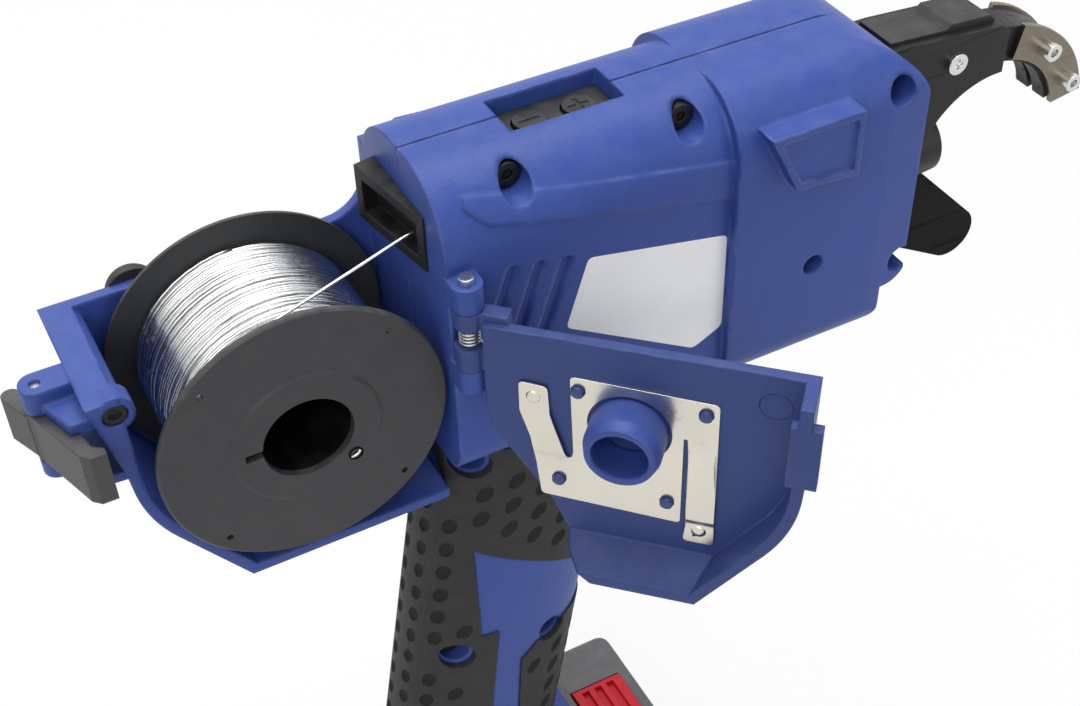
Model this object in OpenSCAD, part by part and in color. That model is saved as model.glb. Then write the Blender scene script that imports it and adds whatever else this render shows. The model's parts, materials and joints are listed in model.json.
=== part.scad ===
// Cordless rebar tying tool with its wire reel cover swung open.
// X runs towards the nose, Y towards the side away from the cover, Z up.
// The origin lies on the flat battery base, under the middle of the pack.

/* [Reel] */
// Outer diameter of the reel flanges
reel_d = 76; // [70:0.5:77]
// Width over both flanges
reel_w = 46; // [40:0.5:47]
// Diameter of the bore through the reel
reel_bore_d = 24; // [23:0.1:26]
// Diameter of the reel's core
reel_core_d = 36; // [32:0.5:44]
// Thickness of a flange
flange_t = 2.2; // [1.6:0.1:3]
// Diameter of the raised ring on a flange
hub_ring_d = 40; // [36:0.5:48]
// Reel axis, along the tool
reel_x = -63; // [-66:0.5:-63]
// Reel axis, above the battery base
reel_z = 232; // [228:0.5:234]

/* [Wire] */
// Diameter of the tying wire
wire_d = 0.8; // [0.6:0.05:1]
// Outer diameter of the wound wire
winding_d = 61; // [50:0.5:66]
// Thickness of a turn of the drawn outer layer
turn_d = 1.2; // [0.9:0.05:1.25]
// Turns in the drawn outer layer
turns = 24; // [16:1:24]

/* [Housing] */
// Rear face of the body
rear_x = -24; // [-24.5:0.5:-23]
// Step between the rear and the front section
step_x = 57; // [54:0.5:60]
// Front wall of the body, behind the collar
front_x = 113; // [112:0.5:115]
// Half width of the rear section
rear_half_w = 25; // [24.6:0.1:26]
// Half width of the front section
front_half_w = 28; // [27:0.1:30]
// Top of the body
top_z = 291; // [289:0.5:294]
// Underside of the body
bottom_z = 199; // [196:0.5:201]
// Radius of the crown edges
crown_r = 20; // [16:0.5:21]
// Radius of the lower edges
belly_r = 9; // [6:0.5:12]
// Wall of the shells
shell_t = 2.6; // [2.2:0.1:3]
// Radius of the brow seen from the side
brow_r = 22; // [16:0.5:24]
// Front collar, ahead of the front wall
collar_out = 5.5; // [4:0.5:8]
// Radius of the collar's chin
chin_r = 7.5; // [6:0.5:9]
// Length of the tapered front collar
collar_len = 14; // [10:0.5:16]
// Draw-in of the front collar on each side
collar_in = 1.2; // [0.8:0.1:2]
// Stand-off of the side guards
guard_h = 5; // [3:0.5:8]
// Height of the raised band on the sides
band_h = 0.7; // [0.4:0.1:1]

/* [Cradle] */
// Gap between a flange and the cradle wall
reel_gap = 2.2; // [1.5:0.1:3]
// Wall of the cradle
cradle_wall = 3; // [2.4:0.1:3.6]
// Gap between the reel and the far wall
far_gap = 0.9; // [0.5:0.1:1.5]
// Rim of the cradle on the cover's side
rim_y = -15; // [-16:0.5:-13]
// Rear top corner, behind the reel axis
cradle_back = 49; // [47:0.5:52]
// Top edge above the reel axis
cradle_rise = 25; // [22:0.5:28]
// Floor below the reel axis
cradle_drop = 48.5; // [46:0.5:52]
// Direction in which the round wall turns to the pointed tip
tip_angle = 215; // [208:1:222]
// Radius of the sweep from the far wall up to the body
sweep_r = 12; // [8:0.5:16]

/* [Cover] */
// Angle of the open cover from its closed place
cover_open = 136; // [110:1:142]
// Hinge axis, along the tool
hinge_x = -20.5; // [-21:0.5:-19]
// Hinge axis, from the middle of the tool
hinge_y = -28.5; // [-30:0.5:-28]
// Rear edge of the cover, behind the reel axis
cover_back = 43.5; // [42.5:0.5:46]
// Thickness of the cover plate
cover_t = 2.8; // [2.2:0.1:3.2]
// Gap between the reel and the cover plate
cover_gap = 2.1; // [1.9:0.1:2.6]
// Outer diameter of the cover's spigot
spigot_d = 19.8; // [18:0.2:20]
// Hole in the spigot
spigot_hole_d = 14.6; // [12:0.2:16]
// Length of the spigot
spigot_len = 11; // [8:0.5:12]
// Diameter of the hinge pin
hinge_pin_d = 3; // [2.5:0.1:3.4]
// Diameter of a hinge knuckle
knuckle_d = 8; // [7.4:0.2:9]
// Thickness of the sheet spring
sheet_t = 0.5; // [0.3:0.1:0.6]
// Wire of the hinge spring
spring_d = 0.6; // [0.5:0.05:0.7]
// Curls of the hinge spring
spring_turns = 5; // [3:1:5]

/* [Latch] */
// Latch pivot behind the reel axis
latch_back = 56.5; // [56:0.5:58]
// Latch pivot from the middle of the tool
latch_y = 1; // [-1:0.5:3]
// Diameter of the latch barrel
latch_d = 8; // [7:0.2:9]
// Height of the lever
latch_h = 15; // [12:0.5:16]

/* [Handle] */
// Length of the handle's section
grip_len = 57; // [52:0.5:60]
// Width of the handle
grip_w = 38; // [34:0.5:40]
// Rake of the handle
rake = 10; // [7:0.5:12]
// Thickness of the rubber grip
rubber_t = 1.6; // [1.2:0.1:2]
// Travel of the trigger
trigger_travel = 7; // [4:0.5:8]

/* [Battery] */
// Length of the battery pack
pack_len = 100; // [90:1:108]
// Width of the battery pack
pack_w = 62; // [60:0.5:66]
// Height of the battery pack
pack_h = 29; // [28:0.5:32]
// Length of the foot on the handle
foot_len = 64; // [60:1:66]
// Height of the foot
foot_h = 16; // [15:0.5:20]
// Diameter of a cell
cell_d = 18.4; // [18:0.1:18.6]

/* [Nose] */
// Centre of the tying ring, ahead of the body
ring_ahead = 45; // [43:0.5:48]
// Centre of the tying ring, above the base
ring_z = 237; // [234:0.5:239]
// Inner radius of the wire guide
ring_r = 24; // [22:0.5:26]
// Depth of the curved guide
guide_depth = 11; // [9:0.5:13]
// Half width between the arm's side plates
arm_half_w = 7; // [6:0.2:8]
// Thickness of a side plate
arm_plate_t = 2.5; // [2:0.1:3]
// Height of the twisting axis
twist_z = 238; // [236:0.5:240]
// Diameter of the twisting shaft
shaft_d = 8; // [7:0.1:9]
// Thickness of the lower guide
lower_guide_t = 6; // [5:0.2:7]

/* [Fits] */
// Running clearance of a shaft in its bore
run_gap = 0.06; // [0.03:0.01:0.09]
// Clearance between pieces that move apart
move_gap = 0.4; // [0.3:0.05:0.6]
// Clearance of a piece in its seat
seat_gap = 0.2; // [0.1:0.05:0.3]

/* [Hidden] */
$fn = 64;

blue = [0.16, 0.24, 0.52];
dark = [0.17, 0.17, 0.18];
soft = [0.24, 0.24, 0.24];
steel = [0.72, 0.72, 0.73];
nickel = [0.78, 0.75, 0.70];
bronze = [0.42, 0.35, 0.27];
red = [0.78, 0.10, 0.14];
green = [0.10, 0.30, 0.18];
eps = 0.01;
far = 400;

// reel and cradle
reel_r = reel_d / 2;
cradle_r = reel_r + reel_gap;
far_in = reel_w / 2 + far_gap;
far_out = far_in + cradle_wall;
bore_r = reel_bore_d / 2;
cradle_top = reel_z + cradle_rise;
cradle_floor = reel_z - cradle_drop;
winding_r = winding_d / 2;
inner_w = reel_w - 2 * flange_t;
turn_pitch = (inner_w - turn_d - 0.8) / turns;
core_gap = 0.1;
layer_gap = 0.4;

// wire line through the feed gears
feed_x = rear_x + 13;
feed_y = -7.5;
feed_z = reel_z + 39;
gear_teeth = 12;
gear_module = 1;
gear_r = gear_teeth * gear_module / 2;
gear_tip = gear_r + 0.8 * gear_module;
gear_root = gear_r - gear_module;
gear_w = 6;
gear_axle_r = 1.5;
feed_body_r = 8;
bracket_t = 1.6;
bracket_y = feed_y + gear_w / 2 + 0.7;
nozzle_r = 2.2;
tube_r = 2;

// rear window for the wire
window_w = 30;
window_h = 16;
window_rim = 3;
window_y = 1.5;
window_z = feed_z - 0.5;
window_proud = 3.2;
window_depth = 3.2;
window_floor = 1.2;
window_yaw = 10;

// control panel on the crown
panel_x = rear_x + 27;
panel_len = 32;
panel_half_w = 7.5;
panel_depth = 5;
panel_t = 2.4;
panel_ledge = 2;
button_r = 4.4;
button_travel = 0.8;
minus_x = panel_x + 9;
plus_x = panel_x + 23;

// screws along the sides: place along X, height, floor of the well
well_r = 4.2;
boss_t = 1.6;
shank_r = 1.6;
head_r = 3.4;
head_h = 2.6;
body_well_y = -12.5;
grip_well_y = -8;
body_wells = [[rear_x + 22, top_z - 6.5], [step_x - 10.2, top_z - 6], [front_x - 5, top_z - 12],
    [front_x + 2, bottom_z + 22]];
blind_well = [step_x + 26.5, bottom_z + 33];
blind_well_r = 3.2;
blind_well_y = 20.8;

// handle
grip_z = 113;
grip_x = -8.6;
grip_half = grip_len / 2;
grip_wall = 3.2;
grip_shape = 2.4;
foot_top = pack_h + move_gap + foot_h;
foot_x0 = -46;
foot_half_w = 24;
rail_w = 26;
rail_lip = 4;
rail_h = 3;
slot_x0 = foot_x0 + 4;
rail_x0 = slot_x0 + 5;
grip_wells = [[grip_x - 18, grip_z + 2], [grip_x + 13, grip_z - 1], [grip_x - 8, bottom_z - 7]];

// trigger
trigger_z = 168;
trigger_h = 28;
trigger_half_w = 8.5;
trigger_out = 16;

// nose
face_x = front_x + collar_out;
chin_z = bottom_z + 14.5;
throat = 4;
ring_x = front_x + ring_ahead;
arm_x0 = front_x - 2;
arm_top = ring_z + 41.7;
shaft_r = shaft_d / 2;
guide_pivot = [face_x + 6, twist_z - 17];
guide_pin_r = 2;

function arc_pts(c, r, a0, a1, n = 12) =
    [for (i = [0:n]) c + r * [cos(a0 + (a1 - a0) * i / n), sin(a0 + (a1 - a0) * i / n)]];

function round_box(y0, y1, z0, z1, rb, rt) = concat(
    arc_pts([y1 - rb, z0 + rb], rb, -90, 0, 8), arc_pts([y1 - rt, z1 - rt], rt, 0, 90, 16),
    arc_pts([y0 + rt, z1 - rt], rt, 90, 180, 16), arc_pts([y0 + rb, z0 + rb], rb, 180, 270, 8));

// where the tangent at the tip angle meets a level
function tip_at(r, level) =
    let (p = [reel_x, reel_z] + r * [cos(tip_angle), sin(tip_angle)],
         d = [-sin(tip_angle), cos(tip_angle)],
         k = (level - p[1]) / d[1])
    p + k * d;

// outline of the cradle and the cover: slanted back, round wall, pointed tip, level floor
function tray(inset, top, right, back) = concat(
    [[right, top], [reel_x - back + inset, top]],
    arc_pts([reel_x, reel_z], cradle_r + cradle_wall - inset, 180, tip_angle, 14),
    [tip_at(cradle_r + cradle_wall - inset, cradle_floor + inset), [right, cradle_floor + inset]]);

function oval(a, b, p, n = 48) =
    [for (i = [0:n - 1]) let (t = 360 * i / n, c = cos(t), s = sin(t))
        [a * sign(c) * pow(abs(c), 2 / p), b * sign(s) * pow(abs(s), 2 / p)]];

function gear_pts(n, r_root, r_tip, share) =
    let (step = 360 / n)
    [for (i = [0:n - 1], q = [[-0.62, r_root], [-share * 0.62, r_tip], [share * 0.62, r_tip],
        [0.62, r_root]])
        let (a = i * step + q[0] * step / 2.6) q[1] * [cos(a), sin(a)]];

module along_x(x0, x1) { translate([x0, 0, 0]) rotate([90, 0, 90]) linear_extrude(x1 - x0) children(); }
module across_y(y0, y1) { translate([0, y1, 0]) rotate([90, 0, 0]) linear_extrude(y1 - y0) children(); }
module rod_x(y, z, r, x0, x1) { translate([x0, y, z]) rotate([0, 90, 0]) cylinder(r = r, h = x1 - x0); }
module rod_y(x, z, r, y0, y1) { translate([x, y1, z]) rotate([90, 0, 0]) cylinder(r = r, h = y1 - y0); }
module rod_z(x, y, r, z0, z1) { translate([x, y, z0]) cylinder(r = r, h = z1 - z0); }
module block(x0, x1, y0, y1, z0, z1) { translate([x0, y0, z0]) cube([x1 - x0, y1 - y0, z1 - z0]); }

// tube swept along points, flat ends
module tube_along(path, r, sides) {
    last = len(path) - 1;
    function heading(i) = let (d = path[min(i + 1, last)] - path[max(i - 1, 0)]) d / norm(d);
    function side_of(t, up) = let (s = cross(t, up)) s / norm(s);
    lean = [0, 0.37, 1];
    points = [for (i = [0:last]) let (t = heading(i), u = side_of(t, lean), v = cross(t, u))
        for (j = [0:sides - 1]) let (a = 360 * j / sides) path[i] + r * (cos(a) * u + sin(a) * v)];
    walls = [for (i = [0:last - 1], j = [0:sides - 1])
        let (a = i * sides + j, b = i * sides + (j + 1) % sides) each [[a, b, a + sides],
            [b, b + sides, a + sides]]];
    caps = [for (j = [1:sides - 2]) each [[0, j + 1, j], [last * sides, last * sides + j,
        last * sides + j + 1]]];
    polyhedron(points = points, faces = [for (f = concat(walls, caps)) [f[2], f[1], f[0]]], convexity = 10);
}

// front of the body from the side: lower corner, chin of the collar, brow
function front_profile(cut) = let (low_x = front_x - throat - cut) concat(
    [[step_x - far, bottom_z - far], [low_x - belly_r, bottom_z - far]],
    arc_pts([low_x - belly_r, bottom_z + belly_r + cut], belly_r, -90, 0, 8), [[low_x, chin_z + cut]],
    arc_pts([face_x - chin_r - cut + eps, chin_z + chin_r + cut], chin_r, -90, 0, 8),
    arc_pts([face_x - brow_r - cut, top_z - brow_r - cut], brow_r, 0, 90, 12),
    [[face_x - brow_r, top_z + far], [step_x - far, top_z + far]]);

// half of the front section's plan, with its tapered collar
function collar_plan(cut, side) = [[step_x - far, side * (front_half_w - cut)],
    [face_x - collar_len - cut, side * (front_half_w - cut)],
    [face_x - collar_in - cut, side * (front_half_w - collar_in - cut)],
    [face_x - cut, side * (front_half_w - 2.5 * collar_in - cut)]];

// body solid: rear section, wider front section with chin, brow and tapered collar
module body_solid(inset) {
    cut = inset > 0 ? shell_t : 0;
    right = collar_plan(cut, -1);
    left = collar_plan(cut, 1);
    along_x(rear_x + cut, step_x + shell_t + cut)
        polygon(round_box(-rear_half_w + cut, rear_half_w - cut, bottom_z + cut, top_z - cut,
            belly_r - cut / 2, crown_r - cut));
    intersection() {
        along_x(step_x + cut, face_x - cut)
            polygon(round_box(-front_half_w + cut, front_half_w - cut, bottom_z + cut, top_z - cut,
                belly_r - cut / 2, crown_r - 2 - cut));
        across_y(-far, far) polygon(front_profile(cut));
        translate([0, 0, -far]) linear_extrude(3 * far)
            polygon(concat(right, [left[3], left[2], left[1], left[0]]));
    }
}

// raked oval handle
module grip_solid(grow, z0, z1) {
    intersection() {
        translate([grip_x, 0, grip_z]) rotate([0, rake, 0]) translate([0, 0, -far / 2])
            linear_extrude(far) polygon(oval(grip_half + grow, grip_w / 2 + grow, grip_shape));
        block(-far, far, -far, far, z0, z1);
    }
}

// blue side panel of the handle, seen from the side
module side_panel_2d() {
    polygon([[grip_x - 10.4, grip_z + 46], [grip_x + 35, grip_z + 18], [grip_x + 35, grip_z + 3],
        [grip_x + 11, grip_z - 1], [grip_x + 2, grip_z - 9], [grip_x - 2, foot_top - 2],
        [grip_x - 14, foot_top - 2], [grip_x - 5, grip_z + 9], [grip_x - 10.6, grip_z + 9]]);
}

// side guard, a raised trapezoid; the one on the far side sits lower and further back
far_guard_shift = [-6, -7];
module guard_2d(inset, side) {
    translate(side < 0 ? [0, 0] : far_guard_shift)
        polygon([[step_x + 6 + 1.6 * inset, top_z - 9 - inset],
            [step_x + 34.5 - inset, top_z - 8.8 - inset],
            [step_x + 34.5 - inset, top_z - 28.5 + inset],
                [step_x + 15 + 0.6 * inset, top_z - 27 + inset]]);
}

module side_guard(side) {
    base = side * (front_half_w - 9);
    face = side * (front_half_w + guard_h);
    dish = side * (front_half_w + guard_h - 1);
    difference() {
        across_y(min(base, face), max(base, face)) guard_2d(0, side);
        across_y(min(dish, side * far), max(dish, side * far)) guard_2d(2, side);
        body_solid(1);
    }
}

// raised band on the rear section, with a pointed rear end
module band_2d() {
    polygon([[rear_x + 7.2, top_z - 7.5], [rear_x + 8, top_z - 5.4], [step_x + 1, top_z - 17],
        [step_x + 1, top_z - 29], [rear_x + 12.7, top_z - 12.5]]);
}

module vent_2d(x, lift) {
    half = 1.7;
    translate([x, lift]) rotate(-20) {
        translate([-half, -12]) square([2 * half, 22]);
        translate([0, 10]) circle(r = half);
    }
}

// hinge knuckles, bottom and top of each along the pin
knuckle_gap = 0.3;
knuckles = [[reel_z + 3, reel_z + 10], [reel_z + 10.3, reel_z + 17], [reel_z + 23.4, reel_z + 28.5],
    [reel_z + 28.8, reel_z + 36]];
pin_top = knuckles[3][1] + 2;

module body_knuckle(k) {
    rod_z(hinge_x, hinge_y, knuckle_d / 2, k[0], k[1]);
    block(hinge_x - knuckle_d / 2, hinge_x + knuckle_d / 2, hinge_y, -rear_half_w + shell_t / 2, k[0],
        k[1]);
}

// the wire's window is turned a little towards the reel
module at_window() { translate([rear_x, window_y, window_z]) rotate([0, 0, window_yaw]) children(); }

// everything the two shells share, before they are split at the seam
module shell_solid() {
    difference() {
        union() {
            body_solid(0);
            grip_solid(0, foot_top - foot_h, bottom_z + belly_r);
            block(foot_x0, foot_x0 + foot_len, -foot_half_w, foot_half_w, foot_top - foot_h, foot_top);
        }
        body_solid(1);
        grip_solid(-grip_wall, foot_top, bottom_z + shell_t + belly_r);
        // recess that the rubber fills
        difference() {
            grip_solid(1, foot_top, bottom_z - shell_t);
            grip_solid(-rubber_t, 0, far);
            across_y(-far, far) side_panel_2d();
        }
        // slot that the battery's rail slides in, open to the front
        block(slot_x0, far, -rail_w / 2 - move_gap, rail_w / 2 + move_gap, 0, pack_h + 3 + move_gap);
        block(slot_x0, far, -rail_w / 2 - rail_lip - move_gap, rail_w / 2 + rail_lip + move_gap,
            pack_h + 3 - move_gap, pack_h + 3 + rail_h + 2 * move_gap);
        // pocket and window of the control panel
        block(panel_x, panel_x + panel_len, -panel_half_w, panel_half_w, top_z - panel_depth - panel_t,
            far);
        block(panel_x + panel_ledge, panel_x + panel_len - panel_ledge, -panel_half_w + panel_ledge,
            panel_half_w - panel_ledge, top_z - panel_depth - 3 * panel_t, far);
        // window for the wire
        at_window() block(-far / 20, window_depth + shell_t, -window_w / 2, window_w / 2, -window_h / 2,
            window_h / 2);
        // front openings for the arm, the nose and the guide
        block(front_x - shell_t - 1, far, -arm_half_w - arm_plate_t - seat_gap,
            arm_half_w + arm_plate_t + seat_gap,
            twist_z + 9, arm_top + seat_gap);
        rod_x(0, twist_z, 11, face_x - shell_t - 1, far);
        // trigger window
        block(grip_x + 16, far, -trigger_half_w - move_gap, trigger_half_w + move_gap,
            trigger_z - trigger_h / 2 - move_gap, trigger_z + trigger_h / 2 + move_gap);
    }
}

// panel frame that carries the control panel under the crown
module panel_tray() {
    difference() {
        intersection() {
            block(panel_x - 2, panel_x + panel_len + 2, -panel_half_w - 2, panel_half_w + 2,
                top_z - panel_depth - 2 * panel_t, far);
            body_solid(0);
        }
        block(panel_x, panel_x + panel_len, -panel_half_w, panel_half_w, top_z - panel_depth - panel_t,
            far);
        block(panel_x + panel_ledge, panel_x + panel_len - panel_ledge, -panel_half_w + panel_ledge,
            panel_half_w - panel_ledge, 0, far);
    }
}

module half_space(side) { block(-far, far, side < 0 ? -far : 0, side < 0 ? 0 : far, -far, far); }

// wells on the right, screw towers on the left
module screw_posts(side, list, floor_y, outer) {
    intersection() {
        union() for (w = list)
            rod_y(w[0], w[1], side < 0 ? well_r + boss_t : shank_r + 2 * boss_t,
                side < 0 ? -far : -floor_y - 2, side < 0 ? floor_y + boss_t : far);
        if (outer == "body") body_solid(0);
        if (outer == "grip") grip_solid(-rubber_t, foot_top, bottom_z + belly_r);
    }
}

module screw_holes(side, list, floor_y) {
    for (w = list) {
        if (side < 0) rod_y(w[0], w[1], well_r, -far, floor_y);
        rod_y(w[0], w[1], shank_r, -far, -floor_y + 2);
    }
}

module shell_half(side) {
    difference() {
        union() {
            intersection() {
                union() {
                    shell_solid();
                    panel_tray();
                    side_guard(side);
                    difference() {
                        intersection() {
                            across_y(-far, far) band_2d();
                            along_x(rear_x + 1, step_x + 1) polygon(round_box(-rear_half_w - band_h,
                                rear_half_w + band_h, bottom_z, top_z + band_h, belly_r, crown_r + band_h));
                        }
                        body_solid(1);
                    }
                }
                half_space(side);
            }
            screw_posts(side, body_wells, body_well_y, "body");
            screw_posts(side, grip_wells, grip_well_y, "grip");
            intersection() {
                rod_y(blind_well[0], blind_well[1], blind_well_r + boss_t,
                    side < 0 ? -far : blind_well_y - boss_t,
                    side < 0 ? -blind_well_y + boss_t : far);
                body_solid(0);
            }
        }
        screw_holes(side, body_wells, body_well_y);
        screw_holes(side, grip_wells, grip_well_y);
        rod_y(blind_well[0], blind_well[1], blind_well_r, side < 0 ? -far : blind_well_y,
            side < 0 ? -blind_well_y : far);
        // three slanted grooves
        for (i = [0:2])
            across_y(side < 0 ? -far : rear_half_w - 1, side < 0 ? -rear_half_w + 1 : far)
                vent_2d(rear_x + 14.2 + 7.5 * i, reel_z + 22 - 1.4 * i);
    }
}

module housing_right() {
    color(blue) difference() {
        union() {
            shell_half(-1);
            body_knuckle(knuckles[0]);
            body_knuckle(knuckles[3]);
        }
        // seam groove along the crown
        block(rear_x - 1, face_x + 1, -0.5, 1, top_z - 0.7, far);
        // room for the cover's knuckles and the spring
        rod_z(hinge_x, hinge_y, knuckle_d / 2 + move_gap, knuckles[0][1], knuckles[3][0]);
        rod_z(hinge_x, hinge_y, hinge_pin_d / 2, knuckles[0][0] - 1, knuckles[3][1] + 1);
    }
}

// cradle of the reel: perimeter wall, far wall with its sweep, spigot, latch clevis
latch_x = reel_x - latch_back;
latch_z0 = reel_z + 2;
clevis_h = [5, 7];
boss_rod_r = 3.4;
boss_end_r = 5;
boss_rod_x = reel_x - cradle_back + 6.5;
boss_rod_z = cradle_top - 4.5;
boss_rod_y0 = rim_y + 0.4;

module cradle_solid() {
    difference() {
        across_y(rim_y, far_out) polygon(tray(0, cradle_top, rear_x + 1, cradle_back));
        across_y(-far, far_in) polygon(tray(cradle_wall, far, rear_x + 2, cradle_back));
    }
    // far wall rising to the body in a sweep
    across_y(far_in, far_out) polygon(concat(
        [[rear_x - sweep_r, cradle_top - 5]],
        arc_pts([rear_x - sweep_r, cradle_top + sweep_r], sweep_r, -90, 0, 8),
        [[rear_x, window_z + window_h / 2], [rear_x + 4, window_z + window_h / 2],
            [rear_x + 4, cradle_top - 5]]));
    // boss rod for the latch screw
    rod_y(boss_rod_x, boss_rod_z, boss_rod_r, boss_rod_y0, far_in + 1);
    rod_y(boss_rod_x, boss_rod_z, boss_end_r, boss_rod_y0, boss_rod_y0 + 6);
    // clevis: a knuckle above and below the lever, each on a plate that runs along the wall
    for (z = [latch_z0 - clevis_h[0], latch_z0 + latch_h + 2 * knuckle_gap]) {
        h = z < latch_z0 ? clevis_h[0] : clevis_h[1];
        rod_z(latch_x, latch_y, latch_d / 2, z, z + h);
        difference() {
            translate([0, 0, z < latch_z0 ? z + h - 3 : z]) linear_extrude(3) polygon([
                [latch_x, latch_y + latch_d / 2],
                [latch_x, latch_y - latch_d / 2], [latch_x + 3.5, rim_y + 2],
                    [reel_x - cradle_r, rim_y + 1],
                [reel_x - cradle_r, latch_y + 10], [latch_x + 4, latch_y + 8]]);
            across_y(-far, far) polygon(tray(cradle_wall, far, 0, cradle_back));
        }
        difference() {
            block(latch_x, reel_x - cradle_r, latch_y - latch_d / 2, latch_y + latch_d / 2, z, z + h);
            across_y(-far, far) polygon(tray(cradle_wall, far, 0, cradle_back));
        }
    }
}

module housing_left() {
    color(blue) difference() {
        union() {
            shell_half(1);
            difference() {
                cradle_solid();
                // clear of the reel and of the latch lever
                rod_y(reel_x, reel_z, cradle_r, -far, far_in);
                rod_z(latch_x, latch_y, latch_d / 2 + move_gap, latch_z0, latch_z0 + latch_h + knuckle_gap);
                half_body_cut();
            }
            difference() {
                rod_y(reel_x, reel_z, bore_r - run_gap, far_in - 12, far_in + 1);
                rod_y(reel_x, reel_z, bore_r - 3.5, far_in - 13, far_in);
            }
        }
        rod_z(latch_x, latch_y, hinge_pin_d / 2, latch_z0 - clevis_h[0] + 1.5, far);
        rod_y(boss_rod_x, boss_rod_z, 1.6, boss_rod_y0 - 1, boss_rod_y0 + 14);
        rod_y(boss_rod_x, boss_rod_z, 3.2, boss_rod_y0 - 1, boss_rod_y0 + 2.5);
        block(rear_x - 1, face_x + 1, -1, 0.2, top_z - 0.7, far);
    }
}

// keeps the cradle out of the right-hand shell
module half_body_cut() { block(rear_x, far, -far, 0, -far, far); }

module case_screws() {
    color(dark) for (w = concat([for (b = body_wells) [b[0], b[1], body_well_y]],
            [for (g = grip_wells) [g[0], g[1], grip_well_y]]))
        difference() {
            union() {
                rod_y(w[0], w[1], shank_r, w[2] - 1, -w[2] + 2);
                rod_y(w[0], w[1], head_r, w[2] - head_h, w[2]);
            }
            rod_y(w[0], w[1], 1.5, w[2] - head_h - 1, w[2] - 1);
        }
}

// hollow frame round the wire's way in
module wire_inlet_frame() {
    color(dark) difference() {
        union() {
            at_window() block(-window_proud, window_depth, -window_w / 2, window_w / 2, -window_h / 2,
                window_h / 2);
            rod_x(feed_y, feed_z, nozzle_r, rear_x + window_floor, feed_x - gear_tip + 0.9);
        }
        at_window() block(-window_proud - 1, window_floor, -window_w / 2 + window_rim,
            window_w / 2 - window_rim,
            -window_h / 2 + window_rim, window_h / 2 - window_rim);
        rod_x(feed_y, feed_z, wire_d, rear_x - 1, feed_x);
    }
}

panel_z = top_z - panel_depth;

module control_panel() {
    color(soft) difference() {
        block(panel_x + seat_gap, panel_x + panel_len - seat_gap, -panel_half_w + seat_gap,
            panel_half_w - seat_gap, panel_z - panel_t, panel_z);
        for (x = [minus_x, plus_x]) rod_z(x, 0, button_r + move_gap, panel_z - far, panel_z + 1);
    }
}

// round key with a flange under the panel; bars stand on its cap
module key(x, bars) {
    color(soft) difference() {
        union() {
            rod_z(x, 0, button_r, panel_z - panel_t - move_gap - 0.5, panel_z + 1);
            rod_z(x, 0, button_r + 0.8, panel_z - panel_t - move_gap - 1.5, panel_z - panel_t - move_gap);
        }
        for (i = [0:bars - 1]) translate([x, 0, panel_z + 1]) rotate([0, 0, 90 * i])
            cube([5.6, 1.1, 0.8], center = true);
    }
}
module plus_button() { key(plus_x, 2); }
module minus_button() { key(minus_x, 1); }

board_z = panel_z - panel_t - move_gap - 1.5 - button_travel - move_gap;

module button_board() {
    color(green) union() {
        block(panel_x, panel_x + panel_len, -panel_half_w, panel_half_w, board_z - 1.6, board_z);
        for (x = [panel_x + 1, panel_x + panel_len - 1])
            block(x - 1, x + 1, -panel_half_w, panel_half_w, board_z - 0.5, panel_z - 2 * panel_t);
    }
}

pcb_x0 = rear_x + 26;
pcb_z = twist_z + 22;

module control_board() {
    color(green) union() {
        block(pcb_x0, step_x - 3, -rear_half_w + shell_t + seat_gap, rear_half_w - shell_t - seat_gap,
            pcb_z, pcb_z + 1.6);
        for (i = [0:2]) rod_z(pcb_x0 + 8 + 12 * i, 10, 4, pcb_z + 1, pcb_z + 9);
        block(pcb_x0 + 4, pcb_x0 + 18, -4, 4, pcb_z + 1, pcb_z + 4);
    }
}

motor_r = 17.5;
motor_x0 = step_x - 51;
box_x0 = step_x + shell_t + 0.4;
box_x1 = box_x0 + 24;

module twist_motor() {
    color(steel) difference() {
        union() {
            rod_x(0, twist_z, motor_r, motor_x0, box_x0);
            rod_x(0, twist_z, 6, motor_x0 - 3, motor_x0 + 1);
        }
        for (s = [-1, 1]) rod_y(motor_x0 + 4, twist_z + s * motor_r, 2.5, -motor_r, motor_r);
    }
}

module gearbox() {
    color(dark) difference() {
        union() {
            rod_x(0, twist_z, motor_r + 1.5, box_x0, box_x1);
            intersection() {
                block(box_x0, box_x0 + 4, -front_half_w + shell_t + seat_gap,
                    front_half_w - shell_t - seat_gap,
                    twist_z - 20, twist_z + 18);
                body_solid(1);
            }
            rod_x(0, twist_z, 9, box_x1 - 1, box_x1 + 3);
        }
        rod_x(0, twist_z, shaft_r + run_gap, box_x1 - 8, box_x1 + 4);
    }
}

bearing_x0 = front_x - 20;
bearing_x1 = bearing_x0 + 12;

module bearing_block() {
    color(dark) difference() {
        block(bearing_x0, bearing_x1, -front_half_w + shell_t + 2, front_half_w - shell_t - 2,
            twist_z - 9, twist_z + 9);
        rod_x(0, twist_z, shaft_r + run_gap, bearing_x0 - 1, bearing_x1 + 1);
    }
}

// shaft with its slotted twisting head
snout_x1 = front_x + 28;
head_x0 = front_x + 12;
head_x1 = snout_x1 - 1.5;

module twister_shaft() {
    color(steel) difference() {
        union() {
            rod_x(0, twist_z, shaft_r, box_x1 - 7.5, head_x0);
            rod_x(0, twist_z, shaft_r + 2, bearing_x1 + 0.3, bearing_x1 + 2.3);
            translate([head_x0, 0, twist_z]) rotate([0, 90, 0]) cylinder(r1 = 7, r2 = 5,
                h = head_x1 - head_x0);
        }
        block(head_x0 + 5, far, -1.4, 1.4, 0, far);
        rod_y(head_x0 + 10, twist_z, 2.4, -far, far);
    }
}

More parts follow.
